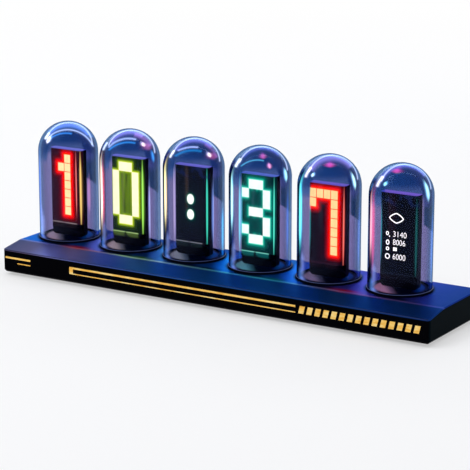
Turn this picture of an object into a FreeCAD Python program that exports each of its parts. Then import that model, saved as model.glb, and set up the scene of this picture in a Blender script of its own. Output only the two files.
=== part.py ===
import FreeCAD, Part
import math
import os

# A desk clock: six clear glass domes stand in a row on a long low base.
# Each dome covers an upright colour display, which shows one digit.
# Millimetres. +X along the row, -Y is the front, +Z up, origin under the centre of the whole clock.

# Driving sizes: glass domes and their row
DOME_COUNT = 6
GLASS_DIA = 30.0             # outside of a dome
GLASS_WALL = 1.2
DOME_GAP = 7.5               # between two neighbouring domes
DOME_HEADROOM = 13.8         # top of a display to the outside of the dome's crown

# Driving sizes: base
LEFT_LEDGE = 2.3             # deck beyond the first dome
RIGHT_BAY = 16.6             # deck beyond the last dome, over the controller
BACK_LEDGE = 3.7             # deck behind the domes
FRONT_LEDGE = 3.6            # deck in front of the domes, up to the sloped band
BAND_DEPTH = 14.2            # sloped band along the front
BAND_FALL = 2.1              # how far the band falls towards the front
CORNER_RADIUS = 1.6
BOTTOM_CHAMFER = 1.0
WALL = 1.5
FLOOR = 1.8
DECK = 1.8
COVER_LIP = 0.6              # thin edge of the cover, which lies on the walls
COVER_CLEAR = 0.15           # cover's inner plate to the walls
COMPONENT_SPACE = 6.3        # main board to the underside of the deck
EDGE_CHAMFER = 0.25          # upper edge of the cover all round

# Driving sizes: feet
FOOT_RADIUS = 5.0
FOOT_PROUD = 1.5
FOOT_RECESS = 0.6
FOOT_INSET_X = 16.0
FOOT_INSET_Y = 12.5
FOOT_CHAMFER = 0.4

# Driving sizes: ring that each dome stands in
RING_CLEAR = 0.1             # glass to the ring's outer lip
RING_LIP = 0.4
RING_RISE = 1.0              # outer lip above the deck
RING_SINK = 0.8              # ring below the deck's surface
RING_INNER_CLEAR = 0.15      # glass to the ring's inner lip
RING_INNER_LIP = 0.45
RING_INNER_RISE = 0.5
RING_SEAT_CLEAR = 0.1        # ring to its counterbore

# Driving sizes: light disc under each display
DISC_CLEAR = 0.2             # disc to the ring
DISC_RISE = 0.7              # disc above the deck
DISC_FLANGE = 1.4
DISC_FLANGE_THICKNESS = 0.8
DISC_CHAMFER = 0.3

# Driving sizes: display
DISPLAY_WIDTH = 19.2
DISPLAY_DEPTH = 4.8
DISPLAY_FORWARD = 2.8        # display's front ahead of the dome's axis
DISPLAY_GLASS_HEIGHT = 38.3
DISPLAY_GLASS_THICKNESS = 1.8
DISPLAY_GLASS_ROUND = 1.7    # rounding of the glass's upright edges
STAND_HEIGHT = 3.5           # housing's lower part, under the chin
STAND_SETBACK = 1.4
CHIN_HEIGHT = 2.7
CHIN_LEDGE = 0.5
CHIN_NOTCH = 2.6             # width of the notch at the chin's lower edge
CHIN_NOTCH_TOP = 0.3         # width of the notch at the chin's upper edge
CHIN_NOTCH_DEPTH = 0.7
DISPLAY_CORNER = 2.0         # rounding of the housing's lower corners
PANEL_WIDTH = 17.6
PANEL_HEIGHT = 34.8
PANEL_THICKNESS = 1.3
PANEL_GAP = 0.1              # panel to the glass
PANEL_LIFT = 1.2             # panel above the chin
POCKET_CLEAR = 0.2
CARRIER_WIDTH = 14.0         # upright board behind the panel
CARRIER_THICKNESS = 0.8
CARRIER_REACH = 26.0         # carrier above the chin
TAB_WIDTH = 12.0             # carrier's tongue, which plugs into the socket
SLOT_CLEAR = 0.1

# Driving sizes: main board and what stands on it
BOARD_THICKNESS = 1.6
STANDOFF = 2.0
STANDOFF_RADIUS = 2.6
STANDOFF_EDGE_GAP = 0.6      # front standoff to the board's front edge
REAR_STANDOFF = 6.2          # rear standoff behind the domes' axes
BOARD_SIDE_GAP = 1.0         # board to the end walls
BOARD_REAR_GAP = 3.8         # board's edge to the clock's back face
BOARD_FRONT_GAP = 12.0       # board's edge to the clock's front face
BOARD_CORNER = 1.0
SOCKET_DEPTH = 3.6
SOCKET_WALL = 1.4
SOCKET_FLOOR = 1.5
SOCKET_TOP_GAP = 1.0         # socket to the disc above it
LED_SIDE = 5.0
LED_HEIGHT = 1.6
LED_BOWL_RADIUS = 1.9
LED_BOWL_DEPTH = 0.6
LED_FORWARD = 8.0            # light in front of the dome's axis
MODULE_WIDTH = 18.0
MODULE_DEPTH = 25.5
MODULE_BOARD = 0.8
MODULE_CAN_HEIGHT = 2.3
MODULE_CAN_DEPTH = 17.6
MODULE_CAN_WIDTH = 15.8
MODULE_CAN_CORNER = 0.6
MODULE_EDGE_GAP = 0.5        # module or cell holder to the board's edge
BOARD_NOTCH_CLEAR = 0.6      # board to a screw boss
CELL_RADIUS = 6.25
CELL_THICKNESS = 2.0
CELL_CHAMFER = 0.25
HOLDER_WALL = 1.2
HOLDER_FLOOR = 0.8
HOLDER_GAP = 6.2             # opening at the front, to push the cell out

# Driving sizes: power socket
USB_WIDTH = 8.94
USB_HEIGHT = 3.26
USB_DEPTH = 7.35
USB_WALL = 0.3
USB_TONGUE_WIDTH = 6.7
USB_TONGUE_THICKNESS = 0.7
USB_TONGUE_LENGTH = 5.0
USB_TONGUE_SETBACK = 1.0     # end of the tongue behind the mouth
USB_RECESS = 0.2             # socket's mouth behind the back face
USB_CLEAR = 0.3
USB_FROM_END = 20.0

# Driving sizes: rear panel, which carries the openings for the buttons and the power socket
REAR_PANEL_MARGIN = 4.0      # panel beyond its outer openings
REAR_PANEL_SILL = 1.0        # case's wall under the panel, above the floor
REAR_PANEL_CLEAR = 0.1
RIM_REACH = 1.2              # panel's rim behind the case's wall
RIM_LAP = 0.6                # panel's rim behind the panel itself
RIM_THICKNESS = 0.8

# Driving sizes: buttons in the rear panel
BUTTON_COUNT = 3
BUTTON_NAMES = ("left", "mode", "right")
BUTTON_PITCH = 14.0
BUTTON_WIDTH = 8.0
BUTTON_HEIGHT = 4.4
BUTTON_CORNER = 1.4
BUTTON_EDGE = 0.4            # rounding of the cap's outer edge
BUTTON_PROUD = 0.8
BUTTON_TRAVEL = 0.5
BUTTON_CLEAR = 0.15
BUTTON_FLANGE = 0.9
BUTTON_FLANGE_THICKNESS = 0.8
BUTTON_STEM_RADIUS = 1.1
BUTTON_STEM = 1.0
SWITCH_WIDTH = 6.0
SWITCH_DEPTH = 3.6
SWITCH_HEIGHT = 4.0
SWITCH_PLUNGER = 0.8
SWITCH_PLAY = 0.1            # stem to the plunger, beyond the travel

# Driving sizes: screws
CASE_SCREW_RADIUS = 1.25
CASE_SCREW_HEAD_RADIUS = 2.4
CASE_SCREW_HEAD = 1.6
CASE_SCREW_LENGTH = 8.0
CASE_SCREW_SINK = 2.0
BOSS_WALL = 1.4
HEAD_WALL = 0.6              # boss round a sunk screw head
SCREW_GRIP = 2.8             # case between a screw's head and the cover's boss
BOSS_INSET = 6.0             # screw's axis to the outside of the case
REAR_BOSS_INSET = 5.2
BOARD_SCREW_RADIUS = 1.0
BOARD_SCREW_HEAD_RADIUS = 2.1
BOARD_SCREW_HEAD = 1.2
BOARD_SCREW_LENGTH = 3.0     # under the head
SCREW_CLEAR = 0.05
DRIVE_RADIUS = 0.9
DRIVE_DEPTH = 0.7

# Driving sizes: gold inlays on the front face
INLAY_DEPTH = 0.2
INLAY_DROP = 3.4             # top of the inlays below the cover's front edge
INLAY_HEIGHT = 3.6
THICK_LINE = 0.95
THIN_LINE = 0.5
LEFT_LINE_END = 17.0         # from the left end of the clock
LEFT_THIN_START = 8.9
LEFT_THIN_DROP = 2.7         # under the top of the inlays
FRAME_START = 40.8
FRAME_END_WIDTH = 2.2
BAR_COUNT = 15
BAR_WIDTH = 2.7
BAR_GAP = 1.5
BAR_LEAN = 0.9
BARS_FROM_RIGHT = 4.1        # last bar to the right end of the clock

# Derived: overall
GLASS_RADIUS = GLASS_DIA / 2
BORE_RADIUS = GLASS_RADIUS - GLASS_WALL
PITCH = GLASS_DIA + DOME_GAP
BASE_LENGTH = LEFT_LEDGE + GLASS_DIA + (DOME_COUNT - 1) * PITCH + RIGHT_BAY
BASE_DEPTH = BACK_LEDGE + GLASS_DIA + FRONT_LEDGE + BAND_DEPTH
LEFT_X = -BASE_LENGTH / 2
RIGHT_X = BASE_LENGTH / 2
FRONT_Y = -(BASE_DEPTH + BUTTON_PROUD) / 2
BACK_Y = FRONT_Y + BASE_DEPTH
AXIS_Y = BACK_Y - BACK_LEDGE - GLASS_RADIUS
BAND_Y = FRONT_Y + BAND_DEPTH

# Derived: levels
CASE_Z = FOOT_PROUD
FLOOR_Z = CASE_Z + FLOOR
BOARD_Z = FLOOR_Z + STANDOFF
BOARD_TOP_Z = BOARD_Z + BOARD_THICKNESS
DECK_UNDER_Z = BOARD_TOP_Z + COMPONENT_SPACE
DECK_Z = DECK_UNDER_Z + DECK
EDGE_Z = DECK_Z - BAND_FALL
DISC_TOP_Z = DECK_Z + DISC_RISE
FLANGE_UNDER_Z = DECK_UNDER_Z - DISC_FLANGE_THICKNESS
CHIN_Z = DISC_TOP_Z + STAND_HEIGHT
DISPLAY_GLASS_Z = CHIN_Z + CHIN_HEIGHT
DISPLAY_TOP_Z = DISPLAY_GLASS_Z + DISPLAY_GLASS_HEIGHT
DOME_TOP_Z = DISPLAY_TOP_Z + DOME_HEADROOM
DOME_CENTRE_Z = DOME_TOP_Z - GLASS_RADIUS
SOCKET_TOP_Z = FLANGE_UNDER_Z - SOCKET_TOP_GAP
TAB_Z = BOARD_TOP_Z + SOCKET_FLOOR

# Derived: ring and disc radii
RING_OUTER = GLASS_RADIUS + RING_CLEAR + RING_LIP
RING_INNER = BORE_RADIUS - RING_INNER_CLEAR - RING_INNER_LIP
DISC_RADIUS = RING_INNER - DISC_CLEAR

# Derived: planes of a display, from front to back
PANE_Y = AXIS_Y - DISPLAY_FORWARD
HOUSING_Y = PANE_Y + DISPLAY_GLASS_THICKNESS
PANEL_Y = HOUSING_Y + PANEL_GAP
CARRIER_Y = PANEL_Y + PANEL_THICKNESS
REAR_Y = PANE_Y + DISPLAY_DEPTH
STAND_Y = PANE_Y + STAND_SETBACK
CARRIER_MID_Y = CARRIER_Y + CARRIER_THICKNESS / 2

# Derived: buttons
BUTTON_Z = BOARD_TOP_Z + SWITCH_HEIGHT / 2
WALL_INNER_Y = BACK_Y - WALL
FLANGE_Y = WALL_INNER_Y - BUTTON_FLANGE_THICKNESS
STEM_Y = FLANGE_Y - BUTTON_STEM
PLUNGER_Y = STEM_Y - BUTTON_TRAVEL - SWITCH_PLAY
SWITCH_Y = PLUNGER_Y - SWITCH_PLUNGER

# Derived: screws
BOSS_RADIUS = CASE_SCREW_HEAD_RADIUS + SCREW_CLEAR + HEAD_WALL
COVER_BOSS_RADIUS = CASE_SCREW_RADIUS + BOSS_WALL
SCREW_SEAT_Z = CASE_Z + CASE_SCREW_SINK
BOSS_SPLIT_Z = SCREW_SEAT_Z + SCREW_GRIP

# Derived: rear panel
SILL_Z = FLOOR_Z + REAR_PANEL_SILL
WALL_TOP_Z = DECK_Z - COVER_LIP

# Two lengths that differ by less than this are the same
TOUCH = 1e-4


def dome_x(number):
    """Place of a dome's axis along the row; halves lie between two domes."""
    return LEFT_X + LEFT_LEDGE + GLASS_RADIUS + number * PITCH


def block(x0, x1, y0, y1, z0, z1):
    return Part.makeBox(x1 - x0, y1 - y0, z1 - z0, FreeCAD.Vector(x0, y0, z0))


def post(x, y, z0, z1, radius):
    return Part.makeCylinder(radius, z1 - z0, FreeCAD.Vector(x, y, z0))


def join(shapes):
    whole = shapes[0]
    for shape in shapes[1:]:
        whole = whole.fuse(shape)
    return whole.removeSplitter()


def rounded_outline(width, height, radius):
    """Closed wire round the origin, in the XY plane, with rounded corners."""
    a = width / 2
    b = height / 2
    c = radius * (1 - math.sqrt(0.5))
    points = []
    for sx, sy in ((1, 1), (-1, 1), (-1, -1), (1, -1)):
        ends = [(sx * a, sy * (b - radius)), (sx * (a - radius), sy * b)]
        if sx * sy < 0:
            ends.reverse()
        points.append((ends[0], (sx * (a - c), sy * (b - c)), ends[1]))
    edges = []
    for number, (start, middle, end) in enumerate(points):
        corner = [FreeCAD.Vector(p[0], p[1], 0) for p in (start, middle, end)]
        following = FreeCAD.Vector(points[(number + 1) % 4][0][0], points[(number + 1) % 4][0][1], 0)
        edges.append(Part.Arc(*corner).toShape())
        if (following - corner[2]).Length > TOUCH:
            edges.append(Part.LineSegment(corner[2], following).toShape())
    return Part.Wire(edges)


def rounded_block(x0, x1, y0, y1, z0, z1, radius):
    """Upright block with rounded upright edges."""
    face = Part.Face(rounded_outline(x1 - x0, y1 - y0, radius))
    face.translate(FreeCAD.Vector((x0 + x1) / 2, (y0 + y1) / 2, z0))
    return face.extrude(FreeCAD.Vector(0, 0, z1 - z0))


def rounded_bar(x, z, y0, y1, width, height, radius):
    """Bar along Y with a rounded section, as of a button or a power socket."""
    face = Part.Face(rounded_outline(width, height, radius))
    face.rotate(FreeCAD.Vector(0, 0, 0), FreeCAD.Vector(1, 0, 0), 90)
    face.translate(FreeCAD.Vector(x, y0, z))
    return face.extrude(FreeCAD.Vector(0, y1 - y0, 0))


def side_profile(points, x0, x1):
    """Solid with a section drawn in Y and Z, running along X."""
    corners = [FreeCAD.Vector(x0, y, z) for y, z in points]
    face = Part.Face(Part.makePolygon(corners + corners[:1]))
    return face.extrude(FreeCAD.Vector(x1 - x0, 0, 0))


def front_profile(points, y0, y1):
    """Solid with a section drawn in X and Z, running along Y."""
    corners = [FreeCAD.Vector(x, y0, z) for x, z in points]
    face = Part.Face(Part.makePolygon(corners + corners[:1]))
    return face.extrude(FreeCAD.Vector(0, y1 - y0, 0))


def turned(edges, x, y):
    """Solid of revolution about an upright axis, from edges drawn in X and Z."""
    face = Part.Face(Part.Wire(edges))
    solid = face.revolve(FreeCAD.Vector(0, 0, 0), FreeCAD.Vector(0, 0, 1), 360)
    solid.translate(FreeCAD.Vector(x, y, 0))
    return solid


def line_edges(points):
    """Edges through points of radius and height, closed."""
    corners = [FreeCAD.Vector(r, 0, z) for r, z in points]
    return Part.makePolygon(corners + corners[:1]).Edges


def round_edges(solid, radius, wanted):
    edges = [edge for edge in solid.Edges if wanted(edge)]
    return solid.makeFillet(radius, edges)


def runs_along(edge, axis):
    """True for a straight edge along one axis: 0 is X, 1 is Y, 2 is Z."""
    if not isinstance(edge.Curve, (Part.Line, Part.LineSegment)):
        return False
    step = edge.Vertexes[-1].Point - edge.Vertexes[0].Point
    across = [abs(value) for number, value in enumerate(step) if number != axis]
    return max(across) < TOUCH


def near(value, target):
    return abs(value - target) < TOUCH


def case_screw_places():
    """Six screws: three along the front, three along the back."""
    middle = dome_x((DOME_COUNT - 1) / 2)
    front = [(x, FRONT_Y + BOSS_INSET) for x in (LEFT_X + BOSS_INSET, middle, RIGHT_X - BOSS_INSET)]
    back_y = BACK_Y - REAR_BOSS_INSET
    back = [(x, back_y) for x in (LEFT_X + REAR_BOSS_INSET, middle, RIGHT_X - REAR_BOSS_INSET)]
    return front + back


def board_screw_places():
    """Four screws, between the outer pairs of domes."""
    ys = (FRONT_Y + BOARD_FRONT_GAP + STANDOFF_RADIUS + STANDOFF_EDGE_GAP, AXIS_Y + REAR_STANDOFF)
    return [(dome_x(number), y) for number in (0.5, DOME_COUNT - 1.5) for y in ys]


def foot_places():
    xs = (LEFT_X + FOOT_INSET_X, RIGHT_X - FOOT_INSET_X)
    ys = (FRONT_Y + FOOT_INSET_Y, BACK_Y - FOOT_INSET_Y)
    return [(x, y) for x in xs for y in ys]


def button_places():
    middle = dome_x(DOME_COUNT - 2)
    first = middle - BUTTON_PITCH * (BUTTON_COUNT - 1) / 2
    return [first + BUTTON_PITCH * number for number in range(BUTTON_COUNT)]


def deck_profile(depth_top, depth_bottom, inset):
    """Section of a layer of the cover, between two depths under its upper surface."""
    back = BACK_Y - inset
    front = FRONT_Y + inset
    fall = BAND_FALL * (BAND_Y - front) / BAND_DEPTH
    top = [(back, DECK_Z - depth_top), (BAND_Y, DECK_Z - depth_top), (front, DECK_Z - depth_top - fall)]
    bottom = [(y, z + depth_top - depth_bottom) for y, z in reversed(top)]
    return top + bottom


def ring_seat(number):
    """Counterbore that a dome's ring lies in."""
    return post(dome_x(number), AXIS_Y, DECK_Z - RING_SINK, DECK_Z, RING_OUTER + RING_SEAT_CLEAR)


def on_upper_edge(edge):
    """True for an edge of the cover's outline that lies in its upper surface."""
    ends = [vertex.Point for vertex in edge.Vertexes]
    heights = [DECK_Z - BAND_FALL * max(0.0, BAND_Y - end.y) / BAND_DEPTH for end in ends]
    crosses = runs_along(edge, 0) and near(ends[0].y, BAND_Y)
    return not crosses and all(near(end.z, height) for end, height in zip(ends, heights))


def make_top_cover():
    """Blue deck with its sloped band: a thin edge on the walls, a thicker plate between them."""
    outline = rounded_block(LEFT_X, RIGHT_X, FRONT_Y, BACK_Y, CASE_Z, DECK_Z, CORNER_RADIUS)
    skin = side_profile(deck_profile(0, DECK, 0), LEFT_X, RIGHT_X).common(outline)
    skin = skin.makeChamfer(EDGE_CHAMFER, [e for e in skin.Edges if on_upper_edge(e)])
    skin = skin.common(side_profile(deck_profile(0, COVER_LIP, 0), LEFT_X, RIGHT_X))
    inset = WALL + COVER_CLEAR
    plate = side_profile(deck_profile(COVER_LIP, DECK, inset), LEFT_X + inset, RIGHT_X - inset)
    cover = skin.fuse(plate)
    slope = BAND_FALL / BAND_DEPTH
    for x, y in case_screw_places():
        rise = slope * max(0.0, BAND_Y - y + COVER_BOSS_RADIUS)
        cover = cover.fuse(post(x, y, BOSS_SPLIT_Z, DECK_Z - COVER_LIP - rise, COVER_BOSS_RADIUS))
    for x, y in case_screw_places():
        tip = SCREW_SEAT_Z + CASE_SCREW_LENGTH + SCREW_CLEAR
        cover = cover.cut(post(x, y, BOSS_SPLIT_Z, tip, CASE_SCREW_RADIUS + SCREW_CLEAR))
    for number in range(DOME_COUNT):
        x = dome_x(number)
        cover = cover.cut(ring_seat(number))
        cover = cover.cut(post(x, AXIS_Y, DECK_UNDER_Z, DECK_Z, RING_INNER + DISC_CLEAR / 2))
    return cover.removeSplitter()


def make_lower_case():
    """Black tray: floor and four walls whose top edge follows the cover."""
    body = rounded_block(LEFT_X, RIGHT_X, FRONT_Y, BACK_Y, CASE_Z, DECK_Z, CORNER_RADIUS)
    body = body.makeChamfer(BOTTOM_CHAMFER, [e for e in body.Edges if near(e.BoundBox.ZMax, CASE_Z)])
    under_cover = deck_profile(COVER_LIP, DECK_Z - CASE_Z, 0)
    body = body.common(side_profile(under_cover, LEFT_X, RIGHT_X))
    body = body.cut(block(LEFT_X + WALL, RIGHT_X - WALL, FRONT_Y + WALL, WALL_INNER_Y, FLOOR_Z, DECK_Z))
    for x, y in case_screw_places():
        body = body.fuse(post(x, y, FLOOR_Z, BOSS_SPLIT_Z, BOSS_RADIUS))
    for x, y in board_screw_places():
        body = body.fuse(post(x, y, FLOOR_Z, BOARD_Z, STANDOFF_RADIUS))
    for x, y in case_screw_places():
        body = body.cut(post(x, y, CASE_Z, SCREW_SEAT_Z, CASE_SCREW_HEAD_RADIUS + SCREW_CLEAR))
        body = body.cut(post(x, y, SCREW_SEAT_Z, BOSS_SPLIT_Z, CASE_SCREW_RADIUS + SCREW_CLEAR))
    for x, y in board_screw_places():
        tip = BOARD_TOP_Z - BOARD_SCREW_LENGTH - SCREW_CLEAR
        body = body.cut(post(x, y, tip, BOARD_Z, BOARD_SCREW_RADIUS + SCREW_CLEAR))
    for x, y in foot_places():
        body = body.cut(post(x, y, CASE_Z, CASE_Z + FOOT_RECESS, FOOT_RADIUS))
    for number in range(DOME_COUNT):
        body = body.cut(ring_seat(number))
    x0, x1 = rear_panel_span(REAR_PANEL_CLEAR)
    body = body.cut(block(x0, x1, WALL_INNER_Y, BACK_Y, SILL_Z, DECK_Z))
    body = body.cut(Part.makeCompound(make_gold_lines().Solids + make_gold_bars().Solids))
    return body.removeSplitter()


def rear_panel_span(grow):
    """Ends of the rear panel, or larger by grow at both."""
    low = button_places()[0] - BUTTON_WIDTH / 2 - REAR_PANEL_MARGIN
    high = usb_centre()[0] + USB_WIDTH / 2 + REAR_PANEL_MARGIN
    return low - grow, high + grow


def make_rear_panel():
    """Panel in the back wall; its rim bears on the inside of the wall, and the cover holds it down."""
    x0, x1 = rear_panel_span(0)
    panel = block(x0, x1, WALL_INNER_Y, BACK_Y, SILL_Z, WALL_TOP_Z)
    rim_y = WALL_INNER_Y - RIM_THICKNESS
    rim_top = DECK_UNDER_Z - REAR_PANEL_CLEAR
    rim = block(x0 - RIM_REACH, x1 + RIM_REACH, rim_y, WALL_INNER_Y, FLOOR_Z, rim_top)
    rim = rim.cut(block(x0 + RIM_LAP, x1 - RIM_LAP, rim_y, WALL_INNER_Y, SILL_Z + RIM_LAP, rim_top))
    panel = panel.fuse(rim).cut(usb_opening())
    for x in button_places():
        panel = panel.cut(button_section(x, WALL_INNER_Y, BACK_Y, BUTTON_CLEAR))
    return panel.removeSplitter()


def usb_centre():
    return RIGHT_X - USB_FROM_END, BOARD_TOP_Z + USB_HEIGHT / 2


def usb_opening():
    x, z = usb_centre()
    height = USB_HEIGHT + 2 * USB_CLEAR
    return rounded_bar(x, z, WALL_INNER_Y, BACK_Y, USB_WIDTH + 2 * USB_CLEAR, height, height / 2)


def make_usb_socket():
    """Power socket: a rounded metal shell with a tongue inside."""
    x, z = usb_centre()
    mouth = BACK_Y - USB_RECESS
    back = mouth - USB_DEPTH
    inner_height = USB_HEIGHT - 2 * USB_WALL
    inner_width = USB_WIDTH - 2 * USB_WALL
    shell = rounded_bar(x, z, back, mouth, USB_WIDTH, USB_HEIGHT, USB_HEIGHT / 2)
    floor = mouth - USB_TONGUE_SETBACK - USB_TONGUE_LENGTH
    hollow = rounded_bar(x, z, floor, mouth, inner_width, inner_height, inner_height / 2)
    half = USB_TONGUE_THICKNESS / 2
    tongue = block(x - USB_TONGUE_WIDTH / 2, x + USB_TONGUE_WIDTH / 2,
                   back, mouth - USB_TONGUE_SETBACK, z - half, z + half)
    return shell.cut(hollow).fuse(tongue).removeSplitter()


def make_feet():
    """Four rubber feet, pressed into recesses."""
    feet = []
    for x, y in foot_places():
        foot = post(x, y, 0, CASE_Z + FOOT_RECESS, FOOT_RADIUS)
        feet.append(foot.makeChamfer(FOOT_CHAMFER, [e for e in foot.Edges if near(e.BoundBox.ZMax, 0)]))
    return Part.makeCompound(feet)


def screw(x, y, seat, point, radius, head_radius, head, up):
    """Pan-head screw whose head bears on the plane seat; up is 1 with the point upwards."""
    low, high = sorted((seat, point))
    shank = post(x, y, low, high, radius)
    low, high = sorted((seat, seat - up * head))
    cap = post(x, y, low, high, head_radius)
    outer = seat - up * head
    low, high = sorted((outer, outer + up * DRIVE_DEPTH))
    return cap.cut(post(x, y, low, high, DRIVE_RADIUS)).fuse(shank).removeSplitter()


def make_case_screws():
    """Six screws that hold the cover down, driven from below."""
    screws = []
    for x, y in case_screw_places():
        point = SCREW_SEAT_Z + CASE_SCREW_LENGTH
        screws.append(screw(x, y, SCREW_SEAT_Z, point, CASE_SCREW_RADIUS,
                            CASE_SCREW_HEAD_RADIUS, CASE_SCREW_HEAD, 1))
    return Part.makeCompound(screws)


def make_board_screws():
    """Four screws that hold the main board on its standoffs."""
    screws = []
    for x, y in board_screw_places():
        point = BOARD_TOP_Z - BOARD_SCREW_LENGTH
        screws.append(screw(x, y, BOARD_TOP_Z, point, BOARD_SCREW_RADIUS,
                            BOARD_SCREW_HEAD_RADIUS, BOARD_SCREW_HEAD, -1))
    return Part.makeCompound(screws)


def board_notch(x, y):
    """Cut for a screw boss; one behind the domes is open to the back and, near an end, to that end."""
    reach = BOSS_RADIUS + BOARD_NOTCH_CLEAR
    notch = post(x, y, BOARD_Z, BOARD_TOP_Z, reach)
    if y < AXIS_Y:
        return notch
    low = LEFT_X if x < dome_x(0) else x - reach
    high = RIGHT_X if x > dome_x(DOME_COUNT - 1) else x + reach
    return notch.fuse(block(low, high, y - reach, BACK_Y, BOARD_Z, BOARD_TOP_Z))


def make_main_board():
    """Circuit board under the deck, notched round the screw bosses."""
    side = WALL + BOARD_SIDE_GAP
    board = rounded_block(LEFT_X + side, RIGHT_X - side, FRONT_Y + BOARD_FRONT_GAP,
                          BACK_Y - BOARD_REAR_GAP, BOARD_Z, BOARD_TOP_Z, BOARD_CORNER)
    for x, y in case_screw_places():
        board = board.cut(board_notch(x, y))
    for x, y in board_screw_places():
        board = board.cut(post(x, y, BOARD_Z, BOARD_TOP_Z, BOARD_SCREW_RADIUS + 2 * SCREW_CLEAR))
    return board.removeSplitter()


def make_controller():
    """Radio controller module: a thin board with a metal can."""
    x1 = RIGHT_X - WALL - BOARD_SIDE_GAP - MODULE_EDGE_GAP
    x0 = x1 - MODULE_WIDTH
    y0 = FRONT_Y + BOARD_FRONT_GAP + MODULE_EDGE_GAP
    carrier = block(x0, x1, y0, y0 + MODULE_DEPTH, BOARD_TOP_Z, BOARD_TOP_Z + MODULE_BOARD)
    margin = (MODULE_WIDTH - MODULE_CAN_WIDTH) / 2
    can_z = BOARD_TOP_Z + MODULE_BOARD
    can = rounded_block(x0 + margin, x1 - margin, y0 + margin, y0 + margin + MODULE_CAN_DEPTH,
                        can_z, can_z + MODULE_CAN_HEIGHT, MODULE_CAN_CORNER)
    return carrier.fuse(can).removeSplitter()


def cell_centre():
    """Backup cell: between two domes, near the board's front edge."""
    return dome_x(1.5), FRONT_Y + BOARD_FRONT_GAP + CELL_RADIUS + HOLDER_WALL + MODULE_EDGE_GAP


def make_coin_cell():
    x, y = cell_centre()
    z = BOARD_TOP_Z + HOLDER_FLOOR
    cell = post(x, y, z, z + CELL_THICKNESS, CELL_RADIUS)
    return cell.makeChamfer(CELL_CHAMFER, [e for e in cell.Edges if near(e.BoundBox.ZMin, z + CELL_THICKNESS)])


def make_cell_holder():
    """Open clip round the backup cell, with a gap at the front to push the cell out."""
    x, y = cell_centre()
    outer = CELL_RADIUS + POCKET_CLEAR + HOLDER_WALL
    top = BOARD_TOP_Z + HOLDER_FLOOR + CELL_THICKNESS
    holder = post(x, y, BOARD_TOP_Z, top, outer)
    holder = holder.cut(post(x, y, BOARD_TOP_Z + HOLDER_FLOOR, top, CELL_RADIUS + POCKET_CLEAR))
    gap = HOLDER_GAP / 2
    holder = holder.cut(block(x - gap, x + gap, y - outer, y, BOARD_TOP_Z + HOLDER_FLOOR, top))
    return holder.removeSplitter()


def make_sockets():
    """Slotted sockets on the main board, one under each display."""
    sockets = []
    half = TAB_WIDTH / 2 + SLOT_CLEAR
    depth = CARRIER_THICKNESS / 2 + SLOT_CLEAR
    for number in range(DOME_COUNT):
        x = dome_x(number)
        body = block(x - half - SOCKET_WALL, x + half + SOCKET_WALL, CARRIER_MID_Y - SOCKET_DEPTH / 2,
                     CARRIER_MID_Y + SOCKET_DEPTH / 2, BOARD_TOP_Z, SOCKET_TOP_Z)
        slot = block(x - half, x + half, CARRIER_MID_Y - depth, CARRIER_MID_Y + depth, TAB_Z, SOCKET_TOP_Z)
        sockets.append(body.cut(slot))
    return Part.makeCompound(sockets)


def make_lights():
    """Colour lights on the main board, which shine up through the discs."""
    lights = []
    half = LED_SIDE / 2
    for number in range(DOME_COUNT):
        x = dome_x(number)
        y = AXIS_Y - LED_FORWARD
        body = block(x - half, x + half, y - half, y + half, BOARD_TOP_Z, BOARD_TOP_Z + LED_HEIGHT)
        top = BOARD_TOP_Z + LED_HEIGHT
        bowl = post(x, y, top - LED_BOWL_DEPTH, top, LED_BOWL_RADIUS)
        lights.append(body.cut(bowl))
    return Part.makeCompound(lights)


def make_switches():
    """Push switches behind the buttons, with their plungers towards the back wall."""
    switches = []
    for x in button_places():
        body = block(x - SWITCH_WIDTH / 2, x + SWITCH_WIDTH / 2, SWITCH_Y - SWITCH_DEPTH, SWITCH_Y,
                     BOARD_TOP_Z, BOARD_TOP_Z + SWITCH_HEIGHT)
        plunger = Part.makeCylinder(BUTTON_STEM_RADIUS, SWITCH_PLUNGER,
                                    FreeCAD.Vector(x, SWITCH_Y, BUTTON_Z), FreeCAD.Vector(0, 1, 0))
        switches.append(body.fuse(plunger))
    return Part.makeCompound(switches)


def button_section(x, y0, y1, grow):
    """Rounded bar of a button's size, or larger by grow on every side."""
    width = BUTTON_WIDTH + 2 * grow
    height = BUTTON_HEIGHT + 2 * grow
    return rounded_bar(x, BUTTON_Z, y0, y1, width, height, BUTTON_CORNER + grow)


def make_button(x):
    """Button cap with a flange behind the wall and a stem that meets the switch."""
    cap = button_section(x, FLANGE_Y, BACK_Y + BUTTON_PROUD, 0)
    face_y = BACK_Y + BUTTON_PROUD
    cap = round_edges(cap, BUTTON_EDGE, lambda edge: near(edge.BoundBox.YMin, face_y))
    flange = button_section(x, FLANGE_Y, WALL_INNER_Y, BUTTON_FLANGE)
    stem = Part.makeCylinder(BUTTON_STEM_RADIUS, BUTTON_STEM,
                             FreeCAD.Vector(x, STEM_Y, BUTTON_Z), FreeCAD.Vector(0, 1, 0))
    return join([cap, flange, stem])


def make_ring(number):
    """Dark ring let into the deck, with a groove for the dome's rim."""
    groove_outer = GLASS_RADIUS + RING_CLEAR
    groove_inner = RING_INNER + RING_INNER_LIP
    profile = [(RING_INNER, DECK_Z - RING_SINK), (RING_OUTER, DECK_Z - RING_SINK),
               (RING_OUTER, DECK_Z + RING_RISE - RING_LIP / 2),
               (RING_OUTER - RING_LIP / 2, DECK_Z + RING_RISE), (groove_outer, DECK_Z + RING_RISE),
               (groove_outer, DECK_Z), (groove_inner, DECK_Z),
               (groove_inner, DECK_Z + RING_INNER_RISE), (RING_INNER, DECK_Z + RING_INNER_RISE)]
    return turned(line_edges(profile), dome_x(number), AXIS_Y)


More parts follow.
